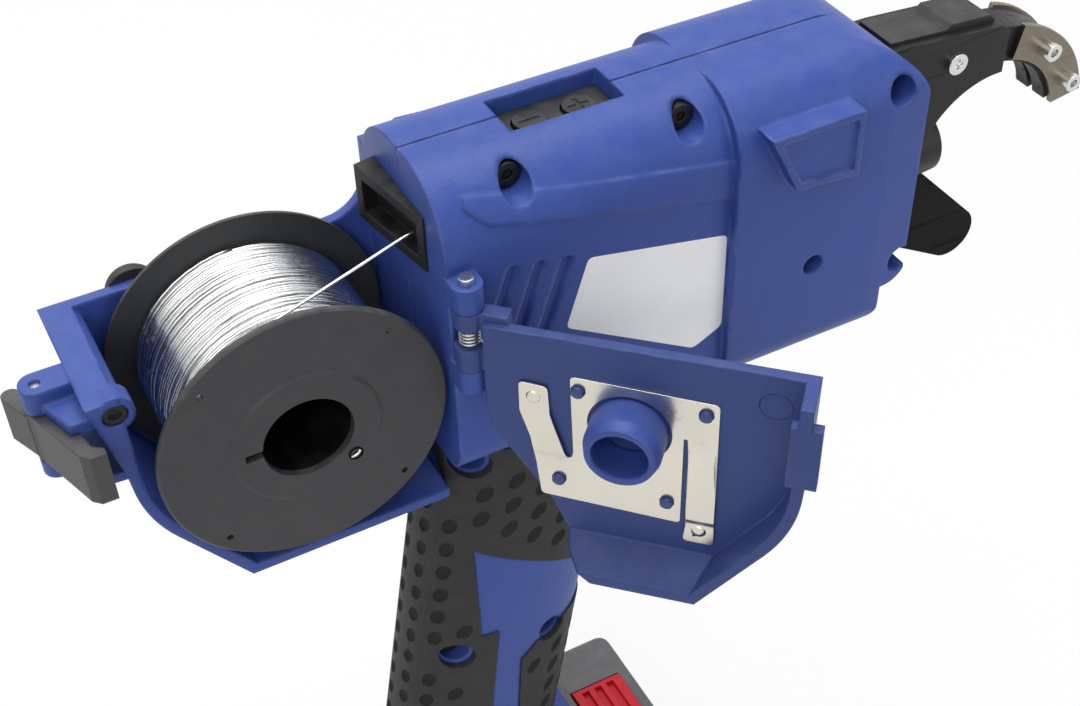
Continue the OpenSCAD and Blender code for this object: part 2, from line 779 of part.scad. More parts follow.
// black block on the front face: round snout over the shaft, two ears for the lower guide
module nose_block() {
    ear = lower_guide_t / 2 + move_gap;
    color(dark) difference() {
        union() {
            rod_x(0, twist_z, 11 - seat_gap, face_x - shell_t - 2, face_x + 1);
            translate([face_x, 0, twist_z]) rotate([0, 90, 0]) cylinder(r1 = 11.5, r2 = 9.8,
                h = snout_x1 - face_x);
            for (s = [-1, 1]) across_y(min(s * ear, s * (ear + 3.5)), max(s * ear,
                s * (ear + 3.5))) polygon(concat(
                [[face_x, twist_z - 2], [face_x, guide_pivot[1] - 2]], arc_pts(guide_pivot, 5.6, -120,
                    20, 8),
                [[face_x + 13, twist_z - 4]]));
        }
        rod_x(0, twist_z, 8.2, face_x + 1, far);
        block(0, far, -arm_half_w - arm_plate_t - seat_gap, arm_half_w + arm_plate_t + seat_gap,
            twist_z + 9 - seat_gap, far);
        rod_x(0, twist_z, shaft_r + 1, 0, far);
        // room for the paddle between the ears
        block(face_x, far, -ear, ear, 0, twist_z - 10);
        rod_y(guide_pivot[0], guide_pivot[1], guide_pin_r, -far, far);
    }
}

module feed_motor() {
    color(steel) difference() {
        union() {
            rod_y(feed_x, feed_z - gear_r, feed_body_r, bracket_y + bracket_t, rear_half_w - 6);
            rod_y(feed_x, feed_z - gear_r, 3, rear_half_w - 7, rear_half_w - 4.5);
        }
        rod_y(feed_x, feed_z - gear_r, gear_axle_r + run_gap, bracket_y - 1, bracket_y + bracket_t + 7);
    }
}

module feed_bracket() {
    color(steel) difference() {
        block(rear_x + window_depth + 1.3, feed_x + 9, bracket_y, bracket_y + bracket_t, feed_z - 17,
            feed_z + 11);
        rod_y(feed_x, feed_z - gear_r, gear_axle_r + run_gap, -far, far);
        rod_y(feed_x, feed_z + gear_r, gear_axle_r, -far, far);
    }
}

// toothed wheel with a groove round its middle for the wire
module feed_wheel(z, turn) {
    difference() {
        translate([feed_x, feed_y + gear_w / 2, z]) rotate([90, turn, 0])
            linear_extrude(gear_w) polygon(gear_pts(gear_teeth, gear_root, gear_tip, 0.42));
        difference() {
            rod_y(feed_x, z, gear_tip + 1, feed_y - wire_d, feed_y + wire_d);
            rod_y(feed_x, z, gear_r - wire_d / 2 - 0.3, feed_y - 2 * wire_d, feed_y + 2 * wire_d);
        }
    }
}

module feed_drive_gear() {
    color(steel) union() {
        feed_wheel(feed_z - gear_r, 0);
        rod_y(feed_x, feed_z - gear_r, gear_axle_r, feed_y - gear_w / 2, bracket_y + bracket_t + 6);
    }
}

module feed_driven_gear() {
    color(steel) difference() {
        feed_wheel(feed_z + gear_r, 180 / gear_teeth);
        rod_y(feed_x, feed_z + gear_r, gear_axle_r + run_gap, -far, far);
    }
}

module idler_pin() {
    color(steel) union() {
        rod_y(feed_x, feed_z + gear_r, gear_axle_r, feed_y - gear_w / 2 - 0.6, bracket_y + bracket_t);
        rod_y(feed_x, feed_z + gear_r, gear_axle_r + 1, feed_y - gear_w / 2 - 1.4,
            feed_y - gear_w / 2 - 0.4);
    }
}

cutter_x0 = front_x - 22;

module front_guide_tube() {
    color(steel) difference() {
        rod_x(feed_y, feed_z, tube_r, feed_x + gear_tip - 0.9, cutter_x0 + 2);
        rod_x(feed_y, feed_z, wire_d, 0 - far, far);
    }
}

// block between the arm plates, with the wire's way to the cutter
module cutter_block() {
    color(steel) difference() {
        union() {
            block(cutter_x0, front_x + 4, -arm_half_w, arm_half_w, twist_z + 9, feed_z + 3);
            block(cutter_x0, cutter_x0 + 6, feed_y - 4, 0, feed_z - 5, feed_z + 5);
        }
        rod_x(feed_y, feed_z, tube_r, 0, cutter_x0 + 2);
        rod_x(feed_y, feed_z, wire_d, 0, cutter_x0 + 5);
    }
}

// side plate of the arm, hollowed round the tying ring
module arm_plate_2d() {
    difference() {
        polygon([[arm_x0, arm_top], [face_x + 4, arm_top], [ring_x - 2, arm_top - 2.7],
            [ring_x + 1, arm_top - 5],
            [ring_x + 1, twist_z + 9], [arm_x0, twist_z + 9]]);
        translate([ring_x, ring_z - 3]) circle(r = ring_r + 2);
    }
}

arm_screw_at = [ring_x - 17.4, arm_top - 9.9];

module arm_plate(side) {
    color(dark) difference() {
        across_y(side < 0 ? -arm_half_w - arm_plate_t : arm_half_w,
            side < 0 ? -arm_half_w : arm_half_w + arm_plate_t) arm_plate_2d();
        rod_y(arm_screw_at[0], arm_screw_at[1], 1.6, -far, far);
    }
}
module arm_plate_right() { arm_plate(-1); }
module arm_plate_left() { arm_plate(1); }

// stepped cover along the top of the arm
module arm_cover() {
    color(soft) across_y(-arm_half_w, arm_half_w) polygon([[face_x + seat_gap, arm_top - 5],
        [face_x + seat_gap, arm_top + 1.3], [face_x + 19.5, arm_top - 0.2], [face_x + 21, arm_top + 1.1],
        [ring_x - 5, arm_top + 0.2], [ring_x - 3, arm_top - 1.5], [ring_x - 3, arm_top - 8],
            [face_x + 16, arm_top - 5]]);
}

module arm_screw() {
    color(steel) union() {
        rod_y(arm_screw_at[0], arm_screw_at[1], 1.6, -arm_half_w - arm_plate_t - 1,
            arm_half_w + arm_plate_t);
        difference() {
            rod_y(arm_screw_at[0], arm_screw_at[1], 3.2, -arm_half_w - arm_plate_t - 1.6,
                -arm_half_w - arm_plate_t);
            for (i = [0, 90]) translate([arm_screw_at[0], -arm_half_w - arm_plate_t - 1.6, arm_screw_at[1]])
                rotate([0, i, 0]) cube([3.4, 1.6, 0.9], center = true);
        }
        rod_y(arm_screw_at[0], arm_screw_at[1], 3, arm_half_w + arm_plate_t, arm_half_w + arm_plate_t + 2);
    }
}

// curved guide that bends the wire round the bars
curl_half_w = arm_half_w - 1;
curl_end = 12;

module curl_2d(r0, r1, a0, a1) {
    polygon(concat(arc_pts([ring_x, ring_z], r1, a0, a1, 16), arc_pts([ring_x, ring_z], r0, a1, a0, 16)));
}

module curl_guide() {
    color(dark) difference() {
        union() {
            across_y(-curl_half_w, curl_half_w) curl_2d(ring_r, ring_r + guide_depth, curl_end, 92);
            across_y(-curl_half_w, curl_half_w) polygon([[ring_x - 2.7, ring_z + ring_r + 0.4],
                [ring_x + 2, ring_z + ring_r + 0.4],
                [ring_x + 2, ring_z + ring_r + guide_depth], [ring_x - 2.7, arm_top - 4.5]]);
        }
        // groove that the wire runs in
        across_y(-1, 1) curl_2d(ring_r - 1, ring_r + 2, curl_end - 5, 90);
        for (a = guide_screw_angles) rod_y(guide_screw(a)[0], guide_screw(a)[1], 1.5, -far, far);
    }
}

guide_screw_angles = [54, 22];
function guide_screw(a) = [ring_x, ring_z] + (ring_r + guide_depth * 0.62) * [cos(a), sin(a)];

module guide_plates() {
    color(bronze) for (s = [-1, 1]) difference() {
        across_y(min(s * curl_half_w, s * (curl_half_w + 1.8)), max(s * curl_half_w,
            s * (curl_half_w + 1.8)))
            curl_2d(ring_r + 1.2, ring_r + guide_depth + 1, curl_end - 3, 76);
        for (a = guide_screw_angles) rod_y(guide_screw(a)[0], guide_screw(a)[1], 1.5, -far, far);
    }
}

// cap screws that stand off the plates
module guide_screws() {
    reach = curl_half_w + 1.8;
    color(steel) for (a = guide_screw_angles) difference() {
        union() {
            rod_y(guide_screw(a)[0], guide_screw(a)[1], 1.5, -reach - 3, reach + 3);
            for (s = [-1, 1]) rod_y(guide_screw(a)[0], guide_screw(a)[1], 2.7,
                min(s * reach, s * (reach + 4)), max(s * reach, s * (reach + 4)));
        }
        for (s = [-1, 1]) rod_y(guide_screw(a)[0], guide_screw(a)[1], 1.3,
            min(s * (reach + 2), s * far), max(s * (reach + 2), s * far));
    }
}

// black paddle that guides the wire from below
module lower_guide() {
    tip = [ring_x - 1.5, ring_z - 38.2];
    color(dark) difference() {
        across_y(-lower_guide_t / 2, lower_guide_t / 2)
            polygon(concat(arc_pts(guide_pivot, 5.3, 235, 92, 10), [[ring_x - 15.5, ring_z - 11.6]],
                arc_pts(tip, 8.6, 50, -110, 14), [[guide_pivot[0] + 3.5, guide_pivot[1] - 15.5]]));
        rod_y(guide_pivot[0], guide_pivot[1], guide_pin_r + run_gap, -far, far);
    }
}

module lower_guide_pin() {
    reach = lower_guide_t / 2 + move_gap + 3.5;
    color(steel) union() {
        rod_y(guide_pivot[0], guide_pivot[1], guide_pin_r, -reach, reach);
        for (s = [-1, 1]) rod_y(guide_pivot[0], guide_pivot[1], guide_pin_r + 1,
            min(s * reach, s * (reach + 0.8)), max(s * reach, s * (reach + 0.8)));
    }
}

// rubber skin round the handle, open at the blue side panels
module grip_rubber() {
    color(soft) difference() {
        grip_solid(0.5, foot_top, bottom_z - shell_t);
        grip_solid(-rubber_t, 0, far);
        across_y(-far, far) side_panel_2d();
        body_solid(0);
        for (w = grip_wells) rod_y(w[0], w[1], well_r + 1, -far, 0);
        block(grip_x + 16, far, -trigger_half_w - 2, trigger_half_w + 2, trigger_z - trigger_h / 2 - 2,
            far);
        housing_left_clear();
    }
}

// room for the cradle floor that runs into the handle
module housing_left_clear() { block(-far, rear_x + 1 + move_gap, -far, far, cradle_floor - move_gap, far); }

// trigger with a hollow finger face
trigger_x0 = grip_x + grip_half - 4;

module trigger() {
    front = trigger_x0 + trigger_out + 9;
    color(dark) difference() {
        across_y(-trigger_half_w, trigger_half_w) polygon(concat(
            [[trigger_x0, trigger_z - trigger_h / 2], [front - 3, trigger_z - trigger_h / 2]],
            arc_pts([front + 18, trigger_z], 22, 216, 144, 10),
            [[front - 1, trigger_z + trigger_h / 2], [trigger_x0, trigger_z + trigger_h / 2]]));
        block(trigger_x0 - 1, trigger_x0 + 4, -trigger_half_w + 2, trigger_half_w - 2,
            trigger_z - trigger_h / 2 + 2, trigger_z + trigger_h / 2 - 2);
    }
}

module trigger_switch() {
    x1 = trigger_x0 - trigger_travel - move_gap;
    color(dark) union() {
        block(x1 - 22, x1, -8, 8, trigger_z - 13, trigger_z + 13);
        intersection() {
            block(x1 - 16, x1 - 10, -far, far, trigger_z - 6, trigger_z + 6);
            grip_solid(-grip_wall - seat_gap, 0, far);
        }
    }
}

pack_x0 = -pack_len / 2;
pack_front = pack_len / 2;
pack_half = pack_w / 2;
button_len = 20;
button_half_w = 11;
button_x0 = pack_front - 24;
button_drop = 2.5;
pack_wall = 2.4;

// battery pack: rounded case, rail on top, collar behind the release button
module battery_case() {
    color(soft) difference() {
        union() {
            intersection() {
                linear_extrude(pack_h) polygon(round_box(pack_x0, pack_front, -pack_half, pack_half, 7, 7));
                along_x(pack_x0, pack_front) polygon(round_box(-pack_half, pack_half, 0, pack_h, 3, 5));
            }
            block(rail_x0, pack_front - 30, -rail_w / 2, rail_w / 2, pack_h - 1, pack_h + 3 + rail_h);
            block(rail_x0, pack_front - 30, -rail_w / 2 - rail_lip, rail_w / 2 + rail_lip,
                pack_h + 3, pack_h + 3 + rail_h);
            intersection() {
                along_x(foot_x0 + foot_len + move_gap, button_x0 - 1.5)
                    polygon(round_box(-foot_half_w, foot_half_w, pack_h - 1, pack_h + 4, 0.5, 3));
                block(-far, far, -far, far, 0, far);
            }
        }
        intersection() {
            block(pack_x0 + pack_wall, button_x0 - 4, -pack_half + pack_wall, pack_half - pack_wall,
                pack_wall, pack_h - pack_wall);
            along_x(-far, far) polygon(round_box(-pack_half + pack_wall, pack_half - pack_wall, pack_wall,
                pack_h - pack_wall, 2, 3));
        }
        // pocket of the release button
        block(button_x0, button_x0 + button_len, -button_half_w, button_half_w, pack_h - 9, far);
        // grip ribs along the front corners
        for (s = [-1, 1], i = [0:3]) rod_z(pack_front - 12 - 7 * i, s * (pack_half + 1.6), 2.4, 6,
            pack_h - 8);
    }
}

module battery_cells() {
    color(steel) for (i = [-1:1])
        rod_x(i * (cell_d + 0.3), pack_wall + cell_d / 2 + seat_gap, cell_d / 2, pack_x0 + 6, button_x0 - 5);
}

module terminal_block() {
    color(dark) union() {
        block(slot_x0, slot_x0 + 3, -10, 10, pack_h + 2, pack_h + 3 + rail_h);
        for (y = [-6, 0, 6]) block(slot_x0 + 2, rail_x0 - move_gap, y - 0.5, y + 0.5,
            pack_h + 3, pack_h + 2 + rail_h);
    }
}

// ribbed red release button
module release_button() {
    color(red) difference() {
        intersection() {
            block(button_x0 + move_gap, button_x0 + button_len - move_gap, -button_half_w + move_gap,
                button_half_w - move_gap, pack_h - 9 + button_drop + 0.3, pack_h + 1.5);
            along_x(-far, far) polygon(round_box(-button_half_w, button_half_w, 0, pack_h + 1.5, 1, 3));
        }
        for (i = [0:2]) block(button_x0 + 3.4 + 5 * i, button_x0 + 6.2 + 5 * i, -button_half_w + 3,
            button_half_w - 3,
            pack_h - 0.5, far);
    }
}

// reel: two flanges on a hub, each with a ring round the bore
module reel_flange(side) {
    translate([reel_x, side * reel_w / 2, reel_z]) rotate([side * 90, 0, 0]) rotate_extrude() polygon([
        [bore_r, 0], [hub_ring_d / 2 - 1, 0], [hub_ring_d / 2, 0.6], [reel_r - 0.6, 0.6], [reel_r, 1.2],
        [reel_r, flange_t], [bore_r, flange_t]]);
}

// near flange, with the starting slot for the wire and small holes near the rim
module reel_near_flange() {
    color(dark) difference() {
        reel_flange(-1);
        block(reel_x - bore_r - 4.5, reel_x - bore_r + 1, -far, 0, reel_z - 1.2, reel_z + 1.2);
        for (i = [0:3]) translate([reel_x, 0, reel_z]) rotate([0, 45 + 90 * i, 0])
            rod_y(reel_r - 4, 0, 0.9, -far, 0);
    }
}

module reel_far_flange() { color(dark) reel_flange(1); }

module reel_hub() {
    color(dark) difference() {
        rod_y(reel_x, reel_z, reel_core_d / 2, -reel_w / 2 + flange_t, reel_w / 2 - flange_t);
        rod_y(reel_x, reel_z, bore_r, -far, far);
    }
}

// inner layers of the wound wire
wound_r = winding_r - turn_d - layer_gap;
module wire_core() {
    color(steel) difference() {
        rod_y(reel_x, reel_z, wound_r, -inner_w / 2 + seat_gap, inner_w / 2 - seat_gap);
        rod_y(reel_x, reel_z, reel_core_d / 2 + core_gap, -reel_w, reel_w);
    }
}

// outer layer: one helix across the reel, its ends straight for one diameter
ring_steps = 24;
function turn_at(a) = [reel_x + (winding_r - turn_d / 2) * sin(a),
    -turns * turn_pitch / 2 + turn_pitch * a / 360,
    reel_z + (winding_r - turn_d / 2) * cos(a)];
function lead(p, q) = p + (p - q) * turn_d / norm(p - q);
winding_path = let (p = [for (i = [0:turns * ring_steps]) turn_at(i * 360 / ring_steps)])
    concat([lead(p[0], p[1])], p, [lead(p[len(p) - 1], p[len(p) - 2])]);

module wire_winding() { color(steel) tube_along(winding_path, turn_d / 2, 6); }

// least gap between points of a path that lie at least half a turn apart
function least_gap(path, d, skip) = min([for (i = [0:len(path) - 1 - skip],
    j = [i + skip:min(i + 3 * skip, len(path) - 1)]) norm(path[i] - path[j])]) - d;
echo(winding_gap = least_gap(winding_path, turn_d, ring_steps / 2));

// free strand from the winding to the nozzle, then on through the feed gears
leave_angle = 105;
strand_lift = winding_r + wire_d / 2 + move_gap;
strand_start = [reel_x + strand_lift * cos(leave_angle), feed_y - 7.5,
    reel_z + strand_lift * sin(leave_angle)];
strand_bend = [rear_x - 0.5, feed_y, feed_z];

// the strand turns into the nozzle along a short curve
bend_len = 4;
bend_in = strand_bend + bend_len * (strand_start - strand_bend) / norm(strand_start - strand_bend);
bend_out = strand_bend + [bend_len, 0, 0];
feed_path = concat([strand_start],
    [for (i = [0:6]) let (t = i / 6) (1 - t) * (1 - t) * bend_in + 2 * t * (1 - t) * strand_bend + t * t * bend_out],
    [[cutter_x0 + 4, feed_y, feed_z]]);

module feed_wire() { color(steel) tube_along(feed_path, wire_d / 2, 12); }

// cover, drawn closed and swung open about the hinge
module swung() {
    translate([hinge_x, hinge_y, 0]) rotate([0, 0, cover_open])
        translate([-hinge_x, -hinge_y, 0]) children();
}

plate_in = -reel_w / 2 - cover_gap;
plate_out = plate_in - cover_t;
cover_rim = rim_y - seat_gap - 0.1;
cover_top = cradle_top + 1;
cover_side = hinge_x - knuckle_d / 2 - move_gap;
tab_h = 19;
tab_edge = reel_x - cover_back - 2.5;
spigot_at = [reel_x + 1.2, reel_z + 1.1];
tab_z0 = reel_z + 1;
post_places = [[13, 9.7], [-18.8, 9.2], [-10, -23.1], [18.2, -21.9]];
post_r = 1.7;

// hinge side of the cover, cut back below for the handle
function cover_2d(inset, top) = let (b = tray(inset, top, cover_side, cover_back)) concat(
    [for (i = [0:len(b) - 2]) b[i]],
    [[reel_x + 9, cradle_floor + inset], [reel_x + 16, cradle_floor + 6], [reel_x + 21.5, reel_z - 29],
     [reel_x + 30, reel_z - 17], [reel_x + 36, reel_z - 8], [cover_side, reel_z + 1]]);

module cover_knuckle(k) {
    rod_z(hinge_x, hinge_y, knuckle_d / 2, k[0], k[1]);
    block(cover_side - 6, hinge_x, hinge_y - 2.2, hinge_y + 2, k[0], k[1]);
    block(cover_side - 6, cover_side, hinge_y, plate_out + cover_t / 2, k[0], k[1]);
}

module reel_cover() {
    color(blue) swung() difference() {
        union() {
            across_y(plate_out, plate_in) polygon(cover_2d(0, cover_top));
            // wall round the back and the tip
            difference() {
                across_y(plate_in - eps, cover_rim) polygon(cover_2d(0, cover_top));
                across_y(-far, far) polygon(concat(
                    [[far, far], [reel_x - cover_back + cradle_wall, far]],
                    arc_pts([reel_x, reel_z], cradle_r, 180, tip_angle, 14),
                    [tip_at(cradle_r, cradle_floor + cradle_wall), [far, cradle_floor + cradle_wall]]));
            }
            // ramp along the floor
            intersection() {
                across_y(plate_in - eps, cover_rim) polygon(cover_2d(0, cover_top));
                along_x(-far, far) polygon([[plate_in - eps, cradle_floor + 9],
                    [cover_rim, cradle_floor + cradle_wall],
                    [cover_rim, 0], [plate_in - eps, 0]]);
            }
            // catch for the latch
            block(tab_edge, reel_x - cover_back + 5, cover_rim - 3, cover_rim, tab_z0, tab_z0 + tab_h);
            for (p = post_places) rod_y(spigot_at[0] + p[0], spigot_at[1] + p[1], post_r, plate_in - 1,
                plate_in + sheet_t + 0.9);
            for (k = [knuckles[1], knuckles[2]]) cover_knuckle(k);
        }
        rod_z(hinge_x, hinge_y, hinge_pin_d / 2 + run_gap, 0, far);
        // room for the spring and the body's knuckles
        rod_z(hinge_x, hinge_y, knuckle_d / 2 + 0.9, knuckles[1][1], knuckles[2][0]);
        rod_z(hinge_x, hinge_y, knuckle_d / 2 + 0.9, 0, knuckles[0][1] + knuckle_gap);
    }
}

// hollow spigot that enters the reel's bore
module cover_spigot() {
    color(blue) swung() translate([spigot_at[0], plate_in, spigot_at[1]])
        rotate([-90, 0, 0]) rotate_extrude() polygon([
        [spigot_hole_d / 2, 0], [spigot_d / 2, 0], [spigot_d / 2, spigot_len - 3],
            [spigot_d / 2 - 1, spigot_len],
        [spigot_hole_d / 2, spigot_len]]);
}

// stamped sheet that presses on the reel: a plate round the spigot with two sprung arms
module cover_spring_plate() {
    color(nickel) swung() difference() {
        across_y(plate_in, plate_in + sheet_t) translate(spigot_at) polygon([[15, 14], [-22, 13],
            [-22.6, -36],
            [-14.6, -36], [-14.6, 0], [-13.6, 0], [-13.6, -30], [23, -28.5], [24, -19], [25, -8],
                [28, 1], [28, 10],
            [20.6, 9.5], [20.2, 1], [16, -13], [15, -14], [14.4, -12]]);
        rod_y(spigot_at[0], spigot_at[1], spigot_d / 2 + 0.8, -far, far);
        for (p = post_places) rod_y(spigot_at[0] + p[0], spigot_at[1] + p[1], post_r + seat_gap, -far, far);
    }
}

module hinge_pin() {
    color(steel) union() {
        rod_z(hinge_x, hinge_y, hinge_pin_d / 2, knuckles[0][0], pin_top);
        rod_z(hinge_x, hinge_y, hinge_pin_d / 2 + 0.5, knuckles[3][1], pin_top);
    }
}

// torsion spring on the pin, one leg towards the body, one along the cover
spring_pitch = spring_d + 0.46;
spring_r = hinge_pin_d / 2 + 0.45 + spring_d;
spring_z0 = (knuckles[1][1] + knuckles[2][0] - spring_turns * spring_pitch) / 2;
leg_len = 3;
curl_rings = 8;
spring_turn_end = 360 * spring_turns + 48;
function spring_at(a) = [hinge_x + spring_r * cos(a), hinge_y + spring_r * sin(a),
    spring_z0 + spring_pitch * a / 360];
function spring_leg(a, s) = s * [-sin(a), cos(a), 0];
spring_path = let (n = ceil(curl_rings * spring_turn_end / 360),
    p = [for (i = [0:n]) spring_at(spring_turn_end * i / n)])
    concat([p[0] + 2 * spring_leg(0, -1)], p, [p[n] + leg_len * spring_leg(spring_turn_end, 1)]);
echo(spring_gap = least_gap(spring_path, spring_d, curl_rings / 2));

module hinge_spring() { color(dark) tube_along(spring_path, spring_d / 2, 6); }

// lever on an upright pivot: thumb lobe one way, hook the other
hook_y = cover_rim - 3 - move_gap;
latch_face = latch_x - 1;
hook_t = 3.5;
hook_tip = tab_edge - move_gap - 1;

module latch_lever() {
    z0 = latch_z0 + knuckle_gap;
    z1 = latch_z0 + latch_h + knuckle_gap;
    lobe = [latch_x - 5.5, latch_y + 8.5];
    color(soft) difference() {
        union() {
            rod_z(latch_x, latch_y, latch_d / 2, z0, z1);
            translate([0, 0, z0]) linear_extrude(z1 - z0) polygon([[latch_face - 3, latch_y],
                [latch_face + 4, latch_y - 2], [hook_tip - 2.5, hook_y + 0.5], [hook_tip, hook_y - 1.5],
                [hook_tip, hook_y - hook_t], [hook_tip - 4, hook_y - hook_t],
                    [hook_tip - 6, hook_y - hook_t + 2]]);
            translate([0, 0, z0 + 1]) linear_extrude(z1 - z0 - 2) polygon(concat([
                [latch_face - 3, latch_y - 1],
                [latch_face + 4, latch_y + 1]], arc_pts(lobe, 2.4, 20, 190, 8)));
        }
        rod_z(latch_x, latch_y, hinge_pin_d / 2 + run_gap, 0, far);
    }
}

module latch_pin() {
    color(steel) rod_z(latch_x, latch_y, hinge_pin_d / 2, latch_z0 - clevis_h[0] + 1.5,
        latch_z0 + latch_h + 2 * knuckle_gap + clevis_h[1] - 1);
}

module latch_screw() {
    color(dark) difference() {
        union() {
            rod_y(boss_rod_x, boss_rod_z, 1.6, boss_rod_y0, boss_rod_y0 + 14);
            rod_y(boss_rod_x, boss_rod_z, 3, boss_rod_y0 + 0.2, boss_rod_y0 + 2.5);
        }
        rod_y(boss_rod_x, boss_rod_z, 1.4, boss_rod_y0 - 2, boss_rod_y0 + 1);
    }
}

// rubber bumper on the far side of the cradle
module side_bumper() {
    color(dark) translate([reel_x - 25, far_out, cradle_top - 4]) rotate([-90, 0, 0])
        rotate_extrude() polygon(concat([[0, 0], [7, 0]], arc_pts([2, 1], 5, 0, 90, 8), [[0, 6]]));
}

housing_right();
housing_left();
case_screws();
wire_inlet_frame();
control_panel();
plus_button();
minus_button();
button_board();
control_board();
twist_motor();
gearbox();
bearing_block();
twister_shaft();
nose_block();
feed_motor();
feed_bracket();
feed_drive_gear();
feed_driven_gear();
idler_pin();
front_guide_tube();
cutter_block();
arm_plate_right();
arm_plate_left();
arm_cover();
arm_screw();
curl_guide();
guide_plates();
guide_screws();
lower_guide();
lower_guide_pin();
grip_rubber();
trigger();
trigger_switch();
battery_case();
battery_cells();
terminal_block();
release_button();
reel_hub();
reel_near_flange();
reel_far_flange();
wire_core();
wire_winding();
feed_wire();
reel_cover();
cover_spigot();
cover_spring_plate();
hinge_pin();
hinge_spring();
latch_lever();
latch_pin();
latch_screw();
side_bumper();
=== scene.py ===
import json
import math

import bmesh
import bpy
import numpy as np
from mathutils import Matrix, Vector
from mathutils.bvhtree import BVHTree
from mathutils.geometry import delaunay_2d_cdt
from mathutils.interpolate import poly_3d_calc


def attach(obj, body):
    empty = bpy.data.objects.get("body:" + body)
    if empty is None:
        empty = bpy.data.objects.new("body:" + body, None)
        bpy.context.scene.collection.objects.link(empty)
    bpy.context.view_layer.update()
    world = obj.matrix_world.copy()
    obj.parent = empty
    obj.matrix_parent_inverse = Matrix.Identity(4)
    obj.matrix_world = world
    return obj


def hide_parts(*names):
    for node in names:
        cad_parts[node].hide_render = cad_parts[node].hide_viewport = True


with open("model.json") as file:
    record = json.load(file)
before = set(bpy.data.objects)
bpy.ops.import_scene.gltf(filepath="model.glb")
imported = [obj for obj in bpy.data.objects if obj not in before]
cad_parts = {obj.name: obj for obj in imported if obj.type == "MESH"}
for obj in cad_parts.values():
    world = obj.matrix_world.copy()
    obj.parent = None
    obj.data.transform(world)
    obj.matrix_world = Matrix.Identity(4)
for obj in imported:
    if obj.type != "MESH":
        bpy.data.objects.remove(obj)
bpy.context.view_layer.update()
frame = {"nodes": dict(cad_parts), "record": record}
nodes = frame["nodes"]
slotOf = {row["node"]: row["material_slot"] for row in frame["record"]["subparts"]}
scene = bpy.context.scene
scene.view_settings.view_transform = "Standard"
mm = 0.001  # pieces are set in millimetres; camera and studio are in metres
print("frame loaded,", len(nodes), "nodes")


# node helpers for the world, the floor and the finishes
def feed(tree, value, socket):
    # a number is set on the socket, an output is linked to it
    if isinstance(value, (int, float)):
        socket.default_value = value
    else:
        tree.links.new(value, socket)


def mathNode(tree, operation, a, b):
    node = tree.nodes.new("ShaderNodeMath")
    node.operation = operation
    feed(tree, a, node.inputs[0])
    feed(tree, b, node.inputs[1])
    return node.outputs[0]


def rangeNode(tree, value, low, high, toLow, toHigh):
    node = tree.nodes.new("ShaderNodeMapRange")
    for i, v in enumerate((value, low, high, toLow, toHigh)):
        feed(tree, v, node.inputs[i])
    return node.outputs["Result"]


def noiseNode(tree, scale, detail, where):
    node = tree.nodes.new("ShaderNodeTexNoise")
    feed(tree, scale, node.inputs["Scale"])
    feed(tree, detail, node.inputs["Detail"])
    tree.links.new(where, node.inputs["Vector"])
    return node.outputs["Fac"]


def objectPlace(tree):
    return tree.nodes.new("ShaderNodeTexCoord").outputs["Object"]


# camera at the photograph's angle, given by its three unit directions
cameraSettings = {
    "place": (-0.1398, -0.3030, 0.5109),
    "right": (0.8831, -0.4687, -0.0238),
    "up": (0.3276, 0.5791, 0.7465),
    "back": (-0.3361, -0.6670, 0.6650),
    "lens": 53.89,
    "sensor": 36,
    "clip": 0.01,
}


def makeCamera(s):
    data = bpy.data.cameras.new("photoCamera")
    data.lens = s["lens"]
    data.sensor_width = s["sensor"]
    data.sensor_fit = "HORIZONTAL"
    data.clip_start = s["clip"]
    cam = bpy.data.objects.new("photoCamera", data)
    turn = Matrix((s["right"], s["up"], s["back"])).transposed()
    cam.matrix_world = Matrix.Translation(s["place"]) @ turn.to_4x4()
    scene.collection.objects.link(cam)
    scene.camera = cam


makeCamera(cameraSettings)

# studio: soft boxes, world and floor
studioSettings = {
    "target": (0.0, 0.0, 0.2),
    "lamps": [  # name, place, size, power
        ("keyBox", (-0.75, -0.75, 1.05), 0.8, 6.5),
        ("topBox", (0.10, 0.15, 1.45), 1.0, 16.0),
        ("sideBox", (0.95, -0.85, 0.65), 0.7, 2.5),
        ("backBox", (-0.2, 1.1, 0.8), 0.9, 3.0),
    ],
    "worldLight": 0.26,  # on matt surfaces
    "worldMirror": 0.95,  # in gloss and metal
    "floorHalf": 3.0,
    "floorDrop": 0.0004,
    "floorTone": (0.86, 0.86, 0.87),
    "floorRough": 0.9,
    "floorGlow": 0.82,  # share of plain white; the rest keeps the shadow
    "floorFade": (0.45, 1.3),  # the share rises to 1 over these distances, so that no horizon shows
}


def makeLamps(s):
    target = Vector(s["target"])
    for name, place, size, power in s["lamps"]:
        lamp = bpy.data.lights.new(name, "AREA")
        lamp.size = size
        lamp.energy = power
        obj = bpy.data.objects.new(name, lamp)
        obj.location = place
        obj.rotation_euler = (target - Vector(place)).to_track_quat("-Z", "Y").to_euler()
        scene.collection.objects.link(obj)


def makeWorld(s):
    world = bpy.data.worlds.new("studioWorld")
    scene.world = world
    world.use_nodes = True
    tree = world.node_tree
    back = tree.nodes["Background"]
    back.inputs["Color"].default_value = (1, 1, 1, 1)
    path = tree.nodes.new("ShaderNodeLightPath").outputs
    mirrored = mathNode(tree, "MAXIMUM", path["Is Glossy Ray"], path["Is Transmission Ray"])
    level = rangeNode(tree, mirrored, 0.0, 1.0, s["worldLight"], s["worldMirror"])
    shown = mathNode(tree, "MAXIMUM", level, path["Is Camera Ray"])
    tree.links.new(shown, back.inputs["Strength"])


